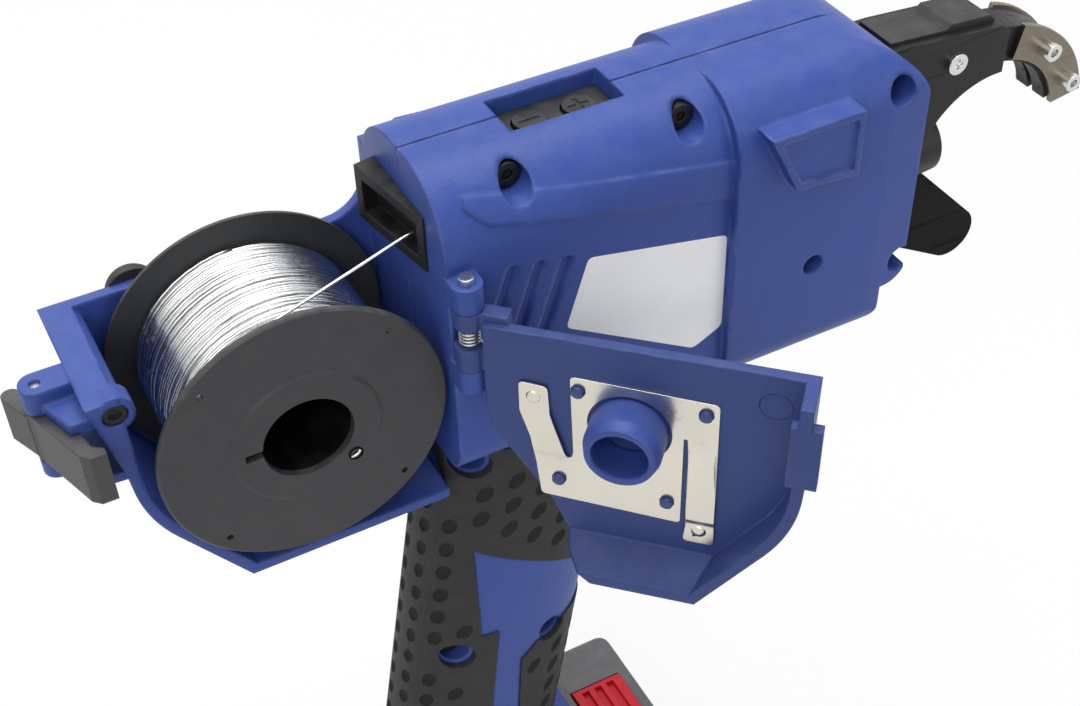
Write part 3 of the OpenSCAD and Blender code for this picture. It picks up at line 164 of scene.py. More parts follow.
def makeFloor(s):
    half = s["floorHalf"]
    corners = [(-half, -half, 0), (half, -half, 0), (half, half, 0), (-half, half, 0)]
    mesh = bpy.data.meshes.new("floor")
    mesh.from_pydata(corners, [], [(0, 1, 2, 3)])
    floor = bpy.data.objects.new("floor", mesh)
    floor.location.z = -s["floorDrop"]
    scene.collection.objects.link(floor)
    mat = bpy.data.materials.new("paleFloor")
    mat.use_nodes = True
    tree = mat.node_tree
    bsdf = tree.nodes["Principled BSDF"]
    bsdf.inputs["Base Color"].default_value = (*s["floorTone"], 1)
    bsdf.inputs["Roughness"].default_value = s["floorRough"]
    glow = tree.nodes.new("ShaderNodeEmission")
    path = tree.nodes.new("ShaderNodeLightPath").outputs
    seen = mathNode(tree, "MAXIMUM", path["Is Camera Ray"], path["Is Glossy Ray"])
    seen = mathNode(tree, "MAXIMUM", seen, path["Is Transmission Ray"])
    away = tree.nodes.new("ShaderNodeVectorMath")
    away.operation = "LENGTH"
    tree.links.new(objectPlace(tree), away.inputs[0])
    fade = rangeNode(tree, away.outputs["Value"], *s["floorFade"], s["floorGlow"], 1.0)
    mix = tree.nodes.new("ShaderNodeMixShader")
    tree.links.new(mathNode(tree, "MULTIPLY", seen, fade), mix.inputs["Fac"])
    tree.links.new(bsdf.outputs[0], mix.inputs[1])
    tree.links.new(glow.outputs[0], mix.inputs[2])
    tree.links.new(mix.outputs[0], tree.nodes["Material Output"].inputs["Surface"])
    mesh.materials.append(mat)


makeLamps(studioSettings)
makeWorld(studioSettings)
makeFloor(studioSettings)
print("camera and studio set")

# shader groups that the finishes share
effectSettings = {
    "wear": {"radius": 0.0006, "breakup": 120.0, "samples": 6, "turn": (0.99, 0.80), "detail": 4.0,
             "keep": (0.42, 0.66)},
    "grain": {"grain": 1500.0, "mottle": 45.0, "fineDetail": 2.0, "slowDetail": 5.0, "spread": (0.3, 0.7),
              "tone": (0.94, 1.05), "gloss": (-0.05, 0.06)},
    "dust": {"amount": 0.05, "scale": 160.0, "detail": 6.0, "onSides": 0.15, "keep": (0.4, 0.75)},
    "scratch": {"density": 300.0, "detail": 3.0, "stretch": (0.08, 1.0, 1.0), "turn": (0.2, 0.5, 0.3),
                "keep": (0.62, 0.70)},
}


def newGroup(name, inputs, values, normals=()):
    group = bpy.data.node_groups.new(name, "ShaderNodeTree")
    for label, value in inputs.items():
        socket = group.interface.new_socket(name=label, in_out="INPUT", socket_type="NodeSocketFloat")
        socket.default_value = value
    for label in values:
        group.interface.new_socket(name=label, in_out="OUTPUT", socket_type="NodeSocketFloat")
    for label in normals:
        group.interface.new_socket(name=label, in_out="OUTPUT", socket_type="NodeSocketVector")
    return group, group.nodes.new("NodeGroupInput").outputs, group.nodes.new("NodeGroupOutput").inputs


def buildEdgeWear(s):
    # a bevel rounds the normal; how far that turns from the face is the edge mask, broken up by noise
    g, given, out = newGroup("edgeWear", {"Radius": s["radius"], "Breakup": s["breakup"]}, ["Mask"], ["Normal"])
    bevel = g.nodes.new("ShaderNodeBevel")
    bevel.samples = s["samples"]
    geo = g.nodes.new("ShaderNodeNewGeometry")
    dot = g.nodes.new("ShaderNodeVectorMath")
    dot.operation = "DOT_PRODUCT"
    g.links.new(given["Radius"], bevel.inputs["Radius"])
    g.links.new(bevel.outputs["Normal"], dot.inputs[0])
    g.links.new(geo.outputs["Normal"], dot.inputs[1])
    turned = rangeNode(g, dot.outputs["Value"], *s["turn"], 0.0, 1.0)
    patches = noiseNode(g, given["Breakup"], s["detail"], objectPlace(g))
    kept = rangeNode(g, patches, *s["keep"], 0.0, 1.0)
    g.links.new(mathNode(g, "MULTIPLY", turned, kept), out["Mask"])
    g.links.new(bevel.outputs["Normal"], out["Normal"])
    return g


def buildMouldGrain(s):
    # fine pebbled grain for the bump, and a slow mottle for tone and gloss
    g, given, out = newGroup("mouldGrain", {"Grain": s["grain"], "Mottle": s["mottle"]}, ["Height", "Tone", "Gloss"])
    where = objectPlace(g)
    fine = noiseNode(g, given["Grain"], s["fineDetail"], where)
    slow = noiseNode(g, given["Mottle"], s["slowDetail"], where)
    g.links.new(rangeNode(g, fine, *s["spread"], 0.0, 1.0), out["Height"])
    g.links.new(rangeNode(g, slow, *s["spread"], *s["tone"]), out["Tone"])
    g.links.new(rangeNode(g, slow, *s["spread"], *s["gloss"]), out["Gloss"])
    return g


def buildDustFilm(s):
    # pale film on upward faces, thinned by noise
    g, given, out = newGroup("dustFilm", {"Amount": s["amount"]}, ["Mask"])
    geo = g.nodes.new("ShaderNodeNewGeometry")
    split = g.nodes.new("ShaderNodeSeparateXYZ")
    g.links.new(geo.outputs["Normal"], split.inputs[0])
    upward = rangeNode(g, split.outputs["Z"], 0.0, 1.0, s["onSides"], 1.0)
    cloud = noiseNode(g, s["scale"], s["detail"], objectPlace(g))
    both = mathNode(g, "MULTIPLY", upward, rangeNode(g, cloud, *s["keep"], 0.0, 1.0))
    g.links.new(mathNode(g, "MULTIPLY", both, given["Amount"]), out["Mask"])
    return g


def buildScratches(s):
    # long thin streaks: noise stretched along one axis, kept where it peaks
    g, given, out = newGroup("fineScratches", {"Density": s["density"]}, ["Mask"])
    mapping = g.nodes.new("ShaderNodeMapping")
    mapping.inputs["Scale"].default_value = s["stretch"]
    mapping.inputs["Rotation"].default_value = s["turn"]
    g.links.new(objectPlace(g), mapping.inputs["Vector"])
    streaks = noiseNode(g, given["Density"], s["detail"], mapping.outputs["Vector"])
    g.links.new(rangeNode(g, streaks, *s["keep"], 0.0, 1.0), out["Mask"])
    return g


builders = {"wear": buildEdgeWear, "grain": buildMouldGrain, "dust": buildDustFilm, "scratch": buildScratches}
groups = {key: build(effectSettings[key]) for key, build in builders.items()}

# plastics, rubber and paper; round is the softened edge in millimetres
finishes = {
    "blueShell": {"color": (0.036, 0.072, 0.300), "rough": 0.42, "spec": 0.26, "grain": 1300, "bump": 0.10,
                  "wear": (0.16, 0.23, 0.52), "wearAmount": 0.5, "dust": 0.04, "round": 1.7},
    # the shell's blue plastic, darker and greyer here only to paint the shade on the inside of the cover
    "shadedCoverBlue": {"color": (0.034, 0.060, 0.203), "rough": 0.44, "spec": 0.24, "grain": 1300, "bump": 0.10,
                  "wear": (0.14, 0.20, 0.44), "wearAmount": 0.5, "dust": 0.04, "round": 1.0},
    "meltedBlue": {"color": (0.012, 0.045, 0.190), "rough": 0.20, "spec": 0.5, "grain": 900, "bump": 0.16,
                   "wear": (0.10, 0.16, 0.40), "wearAmount": 0.3, "dust": 0.02, "round": 0.2},
    "reelBlack": {"color": (0.034, 0.035, 0.037), "rough": 0.48, "spec": 0.36, "grain": 1100, "bump": 0.12,
                  "wear": (0.10, 0.10, 0.10), "wearAmount": 0.5, "dust": 0.10, "round": 0.5},
    # the reel's black plastic taken almost to pure black, to paint the shade deep in the bore and the flange hole
    "holeShadeBlack": {"color": (0.003, 0.003, 0.004), "rough": 0.60, "spec": 0.06, "grain": 900, "bump": 0.10,
                 "wear": (0.03, 0.03, 0.03), "wearAmount": 0.3, "dust": 0.02, "round": 0.3},
    "frameBlack": {"color": (0.010, 0.010, 0.0115), "rough": 0.46, "spec": 0.20, "grain": 1100, "bump": 0.10,
                   "wear": (0.07, 0.07, 0.07), "wearAmount": 0.5, "dust": 0.05, "round": 0.5},
    "greyPlastic": {"color": (0.105, 0.105, 0.111), "rough": 0.48, "spec": 0.36, "grain": 1000, "bump": 0.14,
                    "wear": (0.14, 0.14, 0.14), "wearAmount": 0.5, "dust": 0.08, "round": 0.6},
    "leverGrey": {"color": (0.050, 0.050, 0.052), "rough": 0.46, "spec": 0.36, "grain": 1000, "bump": 0.14,
                  "wear": (0.12, 0.12, 0.12), "wearAmount": 0.5, "dust": 0.06, "round": 0.8},
    "keyBlack": {"color": (0.020, 0.020, 0.022), "rough": 0.44, "spec": 0.34, "grain": 1000, "bump": 0.10,
                 "wear": (0.09, 0.09, 0.09), "wearAmount": 0.5, "dust": 0.05, "round": 0.4},
    "gripRubber": {"color": (0.026, 0.026, 0.027), "rough": 0.60, "spec": 0.24, "grain": 800, "bump": 0.18,
                   "wear": (0.08, 0.08, 0.08), "wearAmount": 0.4, "dust": 0.07, "round": 0.6},
    # same rubber as the grip, darker only to paint the shade inside the dimples
    "gripPaintedShade": {"color": (0.018, 0.018, 0.019), "rough": 0.60, "spec": 0.16, "grain": 800, "bump": 0.18,
                   "wear": (0.05, 0.05, 0.05), "wearAmount": 0.4, "dust": 0.02, "round": 0.3},
    "redPlastic": {"color": (0.580, 0.010, 0.024), "rough": 0.38, "spec": 0.26, "grain": 1300, "bump": 0.08,
                   "wear": (0.62, 0.08, 0.088), "wearAmount": 0.4, "dust": 0.01, "round": 0.5},
    "boardGreen": {"color": (0.020, 0.110, 0.050), "rough": 0.40, "spec": 0.4, "grain": 700, "bump": 0.06,
                   "wear": (0.1, 0.2, 0.1), "wearAmount": 0.2, "dust": 0.05, "round": 0.2},
    "cellWrap": {"color": (0.060, 0.200, 0.310), "rough": 0.35, "spec": 0.4, "grain": 500, "bump": 0.04,
                 "wear": (0.2, 0.3, 0.4), "wearAmount": 0.2, "dust": 0.05, "round": 0.2},
    "stickerPaper": {"color": (0.960, 0.960, 0.945), "rough": 0.42, "spec": 0.4, "grain": 900, "bump": 0.03,
                     "wear": (0.80, 0.80, 0.79), "wearAmount": 0.3, "dust": 0.02, "round": 0.1},
}

# metals; the two blackened ones are mostly or all coating
metals = {
    "brightWire": {"color": (0.65, 0.66, 0.66), "rough": 0.24, "spec": 0.5, "grain": 600, "bump": 0.05,
                   "wear": (0.9, 0.9, 0.9), "wearAmount": 0.2, "scratch": 0.12, "round": 0.1, "metallic": 1.0},
    "plainSteel": {"color": (0.50, 0.50, 0.51), "rough": 0.34, "spec": 0.5, "grain": 900, "bump": 0.06,
                   "wear": (0.75, 0.75, 0.75), "wearAmount": 0.5, "scratch": 0.25, "round": 0.3, "metallic": 1.0},
    "nickelSheet": {"color": (0.70, 0.66, 0.58), "rough": 0.24, "spec": 0.5, "grain": 260, "bump": 0.06,
                    "wear": (0.9, 0.88, 0.82), "wearAmount": 0.5, "scratch": 0.20, "round": 0.2, "metallic": 1.0},
    "bronzePlate": {"color": (0.215, 0.185, 0.145), "rough": 0.36, "spec": 0.5, "grain": 500, "bump": 0.06,
                    "wear": (0.66, 0.60, 0.50), "wearAmount": 0.7, "scratch": 0.25, "round": 0.4, "metallic": 1.0},
    "chromeScrew": {"color": (0.66, 0.66, 0.65), "rough": 0.22, "spec": 0.5, "grain": 900, "bump": 0.03,
                    "wear": (0.9, 0.9, 0.9), "wearAmount": 0.4, "scratch": 0.15, "round": 0.3, "metallic": 1.0},
    "blackSteel": {"color": (0.014, 0.014, 0.015), "rough": 0.44, "spec": 0.30, "grain": 900, "bump": 0.08,
                   "wear": (0.20, 0.19, 0.18), "wearAmount": 0.6, "scratch": 0.25, "round": 0.5, "metallic": 0.2},
    "deepBlack": {"color": (0.004, 0.004, 0.005), "rough": 0.55, "spec": 0.10, "grain": 900, "bump": 0.10,
                  "wear": (0.10, 0.10, 0.10), "wearAmount": 0.5, "scratch": 0.2, "round": 0.5, "metallic": 0.0},
}
dustTone = (0.55, 0.54, 0.52)
bumpDepth = 0.0004


def groupNode(tree, key):
    node = tree.nodes.new("ShaderNodeGroup")
    node.node_tree = groups[key]
    return node


def mixColor(tree, share, a, b):
    node = tree.nodes.new("ShaderNodeMix")
    node.data_type = "RGBA"
    factor, first, second = [x for x in node.inputs if x.enabled]
    tree.links.new(share, factor)
    tree.links.new(a, first)
    second.default_value = (*b, 1)
    return [x for x in node.outputs if x.enabled][0]


def scaledColor(tree, color, tone):
    node = tree.nodes.new("ShaderNodeVectorMath")
    node.operation = "SCALE"
    node.inputs[0].default_value = color
    tree.links.new(tone, node.inputs["Scale"])
    return node.outputs[0]


def makeFinish(name, s):
    # mottled colour, worn edges and grain on all; scratches on metals, dust on the others
    mat = bpy.data.materials.new(name)
    mat.use_nodes = True
    tree = mat.node_tree
    bsdf = tree.nodes["Principled BSDF"]
    wear, grain = groupNode(tree, "wear"), groupNode(tree, "grain")
    wear.inputs["Radius"].default_value = s["round"] * mm
    grain.inputs["Grain"].default_value = s["grain"]
    toned = scaledColor(tree, s["color"], grain.outputs["Tone"])
    worn = mathNode(tree, "MULTIPLY", wear.outputs["Mask"], s["wearAmount"])
    color = mixColor(tree, worn, toned, s["wear"])
    rough = mathNode(tree, "ADD", grain.outputs["Gloss"], s["rough"])
    if name in metals:
        scratched = mathNode(tree, "MULTIPLY", groupNode(tree, "scratch").outputs["Mask"], s["scratch"])
        rough = mathNode(tree, "ADD", rough, scratched)
        bsdf.inputs["Metallic"].default_value = s["metallic"]
    else:
        dust = groupNode(tree, "dust")
        dust.inputs["Amount"].default_value = s["dust"]
        color = mixColor(tree, dust.outputs["Mask"], color, dustTone)
        rough = mathNode(tree, "ADD", rough, dust.outputs["Mask"])
    bsdf.inputs["Specular IOR Level"].default_value = s["spec"]
    tree.links.new(color, bsdf.inputs["Base Color"])
    tree.links.new(rough, bsdf.inputs["Roughness"])
    bump = tree.nodes.new("ShaderNodeBump")
    bump.inputs["Strength"].default_value = s["bump"]
    bump.inputs["Distance"].default_value = bumpDepth
    tree.links.new(grain.outputs["Height"], bump.inputs["Height"])
    tree.links.new(wear.outputs["Normal"], bump.inputs["Normal"])
    tree.links.new(bump.outputs["Normal"], bsdf.inputs["Normal"])
    return mat


materials = {name: makeFinish(name, s) for name, s in (finishes | metals).items()}
print("materials made:", len(materials))

# which finish each node wears
nodeFinish = {
    "blueShell": ["housing_right", "housing_left", "cover_spigot"],
    # the cover is the shell's plastic; its darker blue is painted shade
    "shadedCoverBlue": ["reel_cover"],
    "reelBlack": ["reel_near_flange", "reel_far_flange"],
    # near-black on the hub paints the shade inside the bore
    "holeShadeBlack": ["reel_hub"],
    "frameBlack": ["wire_inlet_frame", "trigger", "trigger_switch", "terminal_block"],
    "keyBlack": ["control_panel", "plus_button", "minus_button", "arm_cover"],
    "greyPlastic": ["battery_case", "gearbox"],
    "leverGrey": ["latch_lever"],
    "gripRubber": ["grip_rubber", "side_bumper"],
    "redPlastic": ["release_button"],
    "boardGreen": ["button_board", "control_board"],
    "cellWrap": ["battery_cells"],
    "brightWire": ["wire_core", "wire_winding", "feed_wire"],
    "plainSteel": ["twist_motor", "bearing_block", "twister_shaft", "feed_motor", "feed_bracket",
                   "feed_drive_gear", "feed_driven_gear", "idler_pin", "front_guide_tube", "cutter_block",
                   "lower_guide_pin", "latch_pin"],
    "nickelSheet": ["cover_spring_plate"],
    "bronzePlate": ["guide_plates"],
    "chromeScrew": ["guide_screws", "arm_screw", "hinge_pin"],
    "blackSteel": ["case_screws", "nose_block", "arm_plate_right", "arm_plate_left", "curl_guide", "latch_screw",
                   "hinge_spring"],
    "deepBlack": ["lower_guide"],
}
finishOf = {node: finish for finish, names in nodeFinish.items() for node in names}


def dress(obj, finish):
    obj.data.materials.clear()
    obj.data.materials.append(materials[finish])


def settle(obj, body, finish, slot, *stands):
    dress(obj, finish)
    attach(obj, body)
    if stands:
        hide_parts(*stands)


for node in sorted(nodes):
    dress(nodes[node], finishOf[node])
print("nodes dressed:", len(nodes))


# mesh helpers
def meshFrom(name, points, faces):
    mesh = bpy.data.meshes.new(name)
    mesh.from_pydata(np.asarray(points).reshape(-1, 3).tolist(), [], faces)
    mesh.update()
    obj = bpy.data.objects.new(name, mesh)
    scene.collection.objects.link(obj)
    return obj


def cleanMesh(mesh, weld=0.0, outward=True, dropLoose=False):
    work = bmesh.new()
    work.from_mesh(mesh)
    if weld:
        bmesh.ops.remove_doubles(work, verts=work.verts, dist=weld)
    if outward:
        bmesh.ops.recalc_face_normals(work, faces=work.faces)
    if dropLoose:
        bmesh.ops.delete(work, geom=[v for v in work.verts if not v.link_faces], context="VERTS")
    work.to_mesh(mesh)
    work.free()


def ringQuads(rows, columns):
    # quads between each ring of points and the next, closed round the ring
    i, j = np.meshgrid(np.arange(rows - 1), np.arange(columns), indexing="ij")
    k = (j + 1) % columns
    corners = [i * columns + j, i * columns + k, (i + 1) * columns + k, (i + 1) * columns + j]
    return np.stack(corners, -1).reshape(-1, 4)


tubeLean = (0.05, 0.37, 1.0)  # fixed direction that a tube's rings lean on


def tubeFrom(name, path, radius, sides):
    # a ring of points round each path point, in the plane across the path
    path = np.asarray(path, float)
    ahead = np.gradient(path, axis=0)
    ahead /= np.linalg.norm(ahead, axis=1, keepdims=True)
    lean = np.cross(ahead, np.array(tubeLean))
    lean /= np.linalg.norm(lean, axis=1, keepdims=True)
    other = np.cross(ahead, lean)
    turn = np.linspace(0, 2 * np.pi, sides, endpoint=False)[None, :, None]
    rings = path[:, None] + radius * (np.cos(turn) * lean[:, None] + np.sin(turn) * other[:, None])
    count = len(path)
    ends = [list(range(sides))[::-1], [(count - 1) * sides + n for n in range(sides)]]
    obj = meshFrom(name, rings, ringQuads(count, sides).tolist() + ends)
    obj.data.shade_smooth()
    return obj


def ringOf(centre, radius, count):
    # points spaced evenly on a circle
    a = np.linspace(0, 2 * np.pi, count, endpoint=False)
    return np.stack([centre[0] + radius * np.cos(a), centre[1] + radius * np.sin(a)], -1)


def sphereAngles(far, rows, sides):
    # grid of two angles, one from zero to far, the other all the way round
    return np.meshgrid(np.linspace(0, far, rows), np.linspace(0, 2 * np.pi, sides, endpoint=False), indexing="ij")


def roundedOutline(points, r, steps=5):
    # each corner is a quadratic curve between points at distance r along its two edges
    pts = np.asarray(points, float)
    before, after = np.roll(pts, 1, 0) - pts, np.roll(pts, -1, 0) - pts
    before /= np.linalg.norm(before, axis=1, keepdims=True)
    after /= np.linalg.norm(after, axis=1, keepdims=True)
    t = np.linspace(0, 1, steps)[None, :, None]
    a, b = (pts + r * before)[:, None], (pts + r * after)[:, None]
    return ((1 - t) ** 2 * a + 2 * t * (1 - t) * pts[:, None] + t ** 2 * b).reshape(-1, 2)


def cornerRoom(outline):
    # a corner may use up to 0.45 of its shorter edge
    pts = np.asarray(outline, float)
    edge = np.linalg.norm(np.roll(pts, -1, 0) - pts, axis=1)
    return 0.45 * np.minimum(edge, np.roll(edge, 1))[:, None]


def insidePolygon(x, z, outline):
    # crossing count along a ray to the right, for arrays of points
    inside = np.zeros(len(x), bool)
    for (x0, z0), (x1, z1) in zip(outline, outline[1:] + outline[:1]):
        spans = (z0 > z) != (z1 > z)
        at = x0 + (z - z0) / (z1 - z0 + 1e-9) * (x1 - x0)
        inside ^= spans & (x < at)
    return inside


def softStep(value, low, high):
    # cubic from 0 to 1, level at both ends
    t = np.clip((value - low) / (high - low), 0, 1)
    return t * t * (3 - 2 * t)


# wire wound on the reel
windingSettings = {
    "axis": (-63.0, 232.0), "halfWidth": 20.2, "outer": 30.5,
    "wire": 0.8, "layers": 3, "layerStep": 0.62, "turnsEach": 34, "ringsEach": 44, "sides": 7,
    "drift": 1.9, "driftWaves": 7, "edgeEase": 4, "lift": 0.45, "liftWaves": 5, "seed": 11,
    "rate": (0.25, 2.1), "phase": (0, 6.3), "weight": (0.4, 1.0),
}


def wander(s, t, seed, waves):
    # sum of sines whose rates share no period
    rng = np.random.default_rng(seed)
    total = np.zeros_like(t)
    for _ in range(waves):
        total += np.sin(t * rng.uniform(*s["rate"]) + rng.uniform(*s["phase"])) * rng.uniform(*s["weight"])
    return total / waves


def makeWinding(s):
    # layers of helix laid back and forth across the reel; drift bends turns sideways, lift lets them cross
    turns = s["layers"] * s["turnsEach"]
    t = np.linspace(0, turns, turns * s["ringsEach"] + 1)
    angle = t * 2 * np.pi
    sweep = t / s["turnsEach"]
    side = s["halfWidth"]
    across = (1 - 2 * np.abs((sweep % 2) - 1)) * (side - s["wire"] / 2)
    ease = np.clip((side - np.abs(across)) / s["edgeEase"], 0, 1)
    across = across + s["drift"] * ease * wander(s, angle, s["seed"], s["driftWaves"])
    across = np.clip(across, -side, side)
    below = s["layers"] - 1 - np.minimum(np.floor(sweep), s["layers"] - 1)
    radius = s["outer"] - s["wire"] / 2 - below * s["layerStep"] * s["wire"]
    radius = radius - s["lift"] * (0.5 + 0.5 * wander(s, angle, s["seed"] + 1, s["liftWaves"]))
    path = np.stack([s["axis"][0] + radius * np.sin(angle), across, s["axis"][1] + radius * np.cos(angle)], -1)
    obj = tubeFrom("windingWire", path * mm, s["wire"] / 2 * mm, s["sides"])
    settle(obj, "reel", "brightWire", "wire", "wire_winding")


makeWinding(windingSettings)

# torsion spring on the hinge pin
springSettings = {"axis": (-20.5, -28.5), "low": 249.0, "high": 255.4, "turns": 5, "extra": 48, "wire": 0.6,
                  "gap": 0.46, "radius": 2.55, "leg": 3.0, "foot": 2.0, "ringsEach": 24, "sides": 10}


def makeHingeSpring(s):
    # helix about the pin, with a straight leg along the tangent at each end
    pitch = s["wire"] + s["gap"]
    low = (s["low"] + s["high"] - s["turns"] * pitch) / 2
    a = np.radians(np.linspace(0, 360 * s["turns"] + s["extra"], s["ringsEach"] * s["turns"]))
    coil = np.stack([s["axis"][0] + s["radius"] * np.cos(a), s["axis"][1] + s["radius"] * np.sin(a),
                     low + pitch * a / (2 * np.pi)], -1)
    first = coil[0] + np.array([0, -1, 0]) * s["foot"]
    last = coil[-1] + np.array([-np.sin(a[-1]), np.cos(a[-1]), 0]) * s["leg"]
    path = np.vstack([first, coil, last]) * mm
    obj = tubeFrom("hingeSpringWire", path, s["wire"] / 2 * mm, s["sides"])
    settle(obj, "tool", "plainSteel", "black_steel", "hinge_spring")


makeHingeSpring(springSettings)
print("wound wire and spring made")

# the wire's first end, on the near flange
endSettings = {"place": (-51.7, 221.1), "face": -23.0, "eye": 1.75, "lip": 0.3, "eyeSteps": 41, "eyeSides": 8,
               "wire": 0.8, "reach": (1.275, 0.675), "sink": 0.1, "bulge": 0.55, "endSteps": 17, "endSides": 10}


def makeWireEnd(s):
    # an eyelet ring, and in it the wire's end bowed out as a parabola
    x, z = s["place"]
    a = np.linspace(0, 2 * np.pi, s["eyeSteps"])
    ring = np.stack([x + s["eye"] * np.cos(a), np.full(len(a), s["face"]), z + s["eye"] * np.sin(a)], -1)
    eyelet = tubeFrom("flangeEyelet", ring * mm, s["lip"] * mm, s["eyeSides"])
    # the eyelet wears the near-black that paints the shade of the hole round the wire end
    settle(eyelet, "reel", "holeShadeBlack", slotOf["reel_near_flange"])
    t = np.linspace(-1, 1, s["endSteps"])
    bow = np.stack([x + s["reach"][0] * t, s["face"] + s["sink"] - s["bulge"] * (1 - t ** 2),
                    z + s["reach"][1] * t], -1)
    end = tubeFrom("wireEnd", bow * mm, s["wire"] / 2 * mm, s["endSides"])
    settle(end, "reel", "brightWire", slotOf["wire_winding"])


makeWireEnd(endSettings)

# bare sticker on the side of the body
stickerSettings = {"side": -25.0, "lift": 0.08, "corner": 1.6,
                   "outline": [(14.8, 259.3), (56.4, 250.7), (56.4, 219.5), (47.4, 215.0), (8.1, 239.0)]}


def makeSticker(s):
    # the rounded outline as a front and a back face, with a wall between
    flat = roundedOutline(s["outline"], s["corner"])
    n = len(flat)
    front = np.column_stack([flat[:, 0], np.full(n, s["side"] - s["lift"]), flat[:, 1]])
    back = np.column_stack([flat[:, 0], np.full(n, s["side"]), flat[:, 1]])
    ring = np.arange(n)
    faces = [ring.tolist(), (ring[::-1] + n).tolist()] + ringQuads(2, n).tolist()
    obj = meshFrom("sideSticker", np.vstack([front, back]) * mm, faces)
    cleanMesh(obj.data)
    settle(obj, "tool", "stickerPaper", "grey_plastic")


makeSticker(stickerSettings)
print("sticker made")

# rubber grip with its dimples
gripSettings = {
    "centre": (-8.6, 113.0), "rake": 10.0,  # middle of the handle, and its lean in degrees
    "half": (29.0, 19.5), "power": 2.4, "outlineSteps": 721,  # superellipse that the dimples follow
    "pitch": (9.3, 8.8), "rows": (-60, 100), "tangentStep": 0.4,
    "oval": (3.4, 2.2, 1.25), "tilt": 28.0, "sink": 0.1, "ovalGrid": (9, 14),
    "low": 61.0, "high": 186.0, "trigger": (142.0, 12.0), "heel": (-20.0, 177.0),
    "panel": [(-19.0, 159.0), (26.4, 131.0), (26.4, 116.0), (2.4, 112.0), (-6.6, 104.0), (-10.6, 48.0),
              (-22.6, 48.0), (-13.6, 122.0), (-19.2, 122.0)],
    "panelMargin": 4.2,
    "wells": [(-26.6, 115.0), (4.4, 112.0), (-16.6, 192.0)], "wellMargin": 9,
    "skinWeld": 2e-6, "cutterWeld": 1e-6, "inset": 0.02,
}


def gripOutline(s):
    # superellipse, with the length run along it
    a, b = s["half"]
    t = np.linspace(0, 2 * np.pi, s["outlineSteps"])
    bend = 2 / s["power"]
    curve = np.stack([a * np.sign(np.cos(t)) * np.abs(np.cos(t)) ** bend,
                      b * np.sign(np.sin(t)) * np.abs(np.sin(t)) ** bend], -1)
    run = np.concatenate([[0], np.cumsum(np.linalg.norm(np.diff(curve, axis=0), axis=1))])
    return curve, run


def clearOfEdges(s, x, z):
    # dimples keep away from the grip's ends, trigger, heel, side panel and screw wells
    clear = (z > s["low"]) & (z < s["high"]) & ~((z > s["trigger"][0]) & (x > s["trigger"][1]))
    clear &= ~((x < s["heel"][0]) & (z > s["heel"][1]))
    m = s["panelMargin"]
    for dx, dz in ((0, 0), (m, 0), (-m, 0), (0, m), (0, -m)):
        clear &= ~insidePolygon(x + dx, z + dz, s["panel"])
    for wx, wz in s["wells"]:
        clear &= np.hypot(x - wx, z - wz) > s["wellMargin"]
    return clear


def makeDimpleBalls(s):
    # stretched balls on staggered columns round the outline, turned by the tilt and leant with the handle
    curve, run = gripOutline(s)
    columns = int(run[-1] // s["pitch"][1]) // 2 * 2  # even, so that the stagger closes
    at = (np.arange(columns) + 0.5) * run[-1] / columns
    col, row = np.meshgrid(np.arange(columns), np.arange(*s["rows"], s["pitch"][0]), indexing="ij")
    along = (row + (col % 2) * s["pitch"][0] / 2).ravel()
    px, py = (np.interp(at[col.ravel()], run, curve[:, k]) for k in (0, 1))
    qx, qy = (np.interp(at[col.ravel()] + s["tangentStep"], run, curve[:, k]) for k in (0, 1))
    tangent = np.stack([qx - px, qy - py, 0 * px], -1)
    tangent /= np.linalg.norm(tangent, axis=1, keepdims=True)
    normal = np.stack([tangent[:, 1], -tangent[:, 0], 0 * px], -1)
    upward = np.tile([0.0, 0.0, 1.0], (len(px), 1))
    lean = math.radians(s["rake"])
    tip = np.array([[math.cos(lean), 0, math.sin(lean)], [0, 1, 0], [-math.sin(lean), 0, math.cos(lean)]])
    centre = np.stack([px, py, along], -1) @ tip.T + np.array([s["centre"][0], 0, s["centre"][1]])
    spin = math.radians(s["tilt"])
    longWay = math.cos(spin) * upward + math.sin(spin) * tangent
    shortWay = math.cos(spin) * tangent - math.sin(spin) * upward
    rows, sides = s["ovalGrid"]
    v, u = sphereAngles(np.pi, rows, sides)
    ball = (np.sin(v) * np.cos(u), np.sin(v) * np.sin(u), np.cos(v))
    ways = (longWay, shortWay, normal)
    local = sum(part[None, ..., None] * size * way[:, None, None] for part, size, way in zip(ball, s["oval"], ways))
    local = local + s["sink"] * normal[:, None, None]
    balls = (local @ tip.T + centre[:, None, None])[clearOfEdges(s, centre[:, 0], centre[:, 2])]
    starts = np.arange(len(balls)) * rows * sides
    faces = (ringQuads(rows, sides)[None] + starts[:, None, None]).reshape(-1, 4)
    cutter = meshFrom("gripCutter", balls * mm, faces.tolist())
    cleanMesh(cutter.data, weld=s["cutterWeld"])
    print("grip dimples:", len(balls))
    return cutter


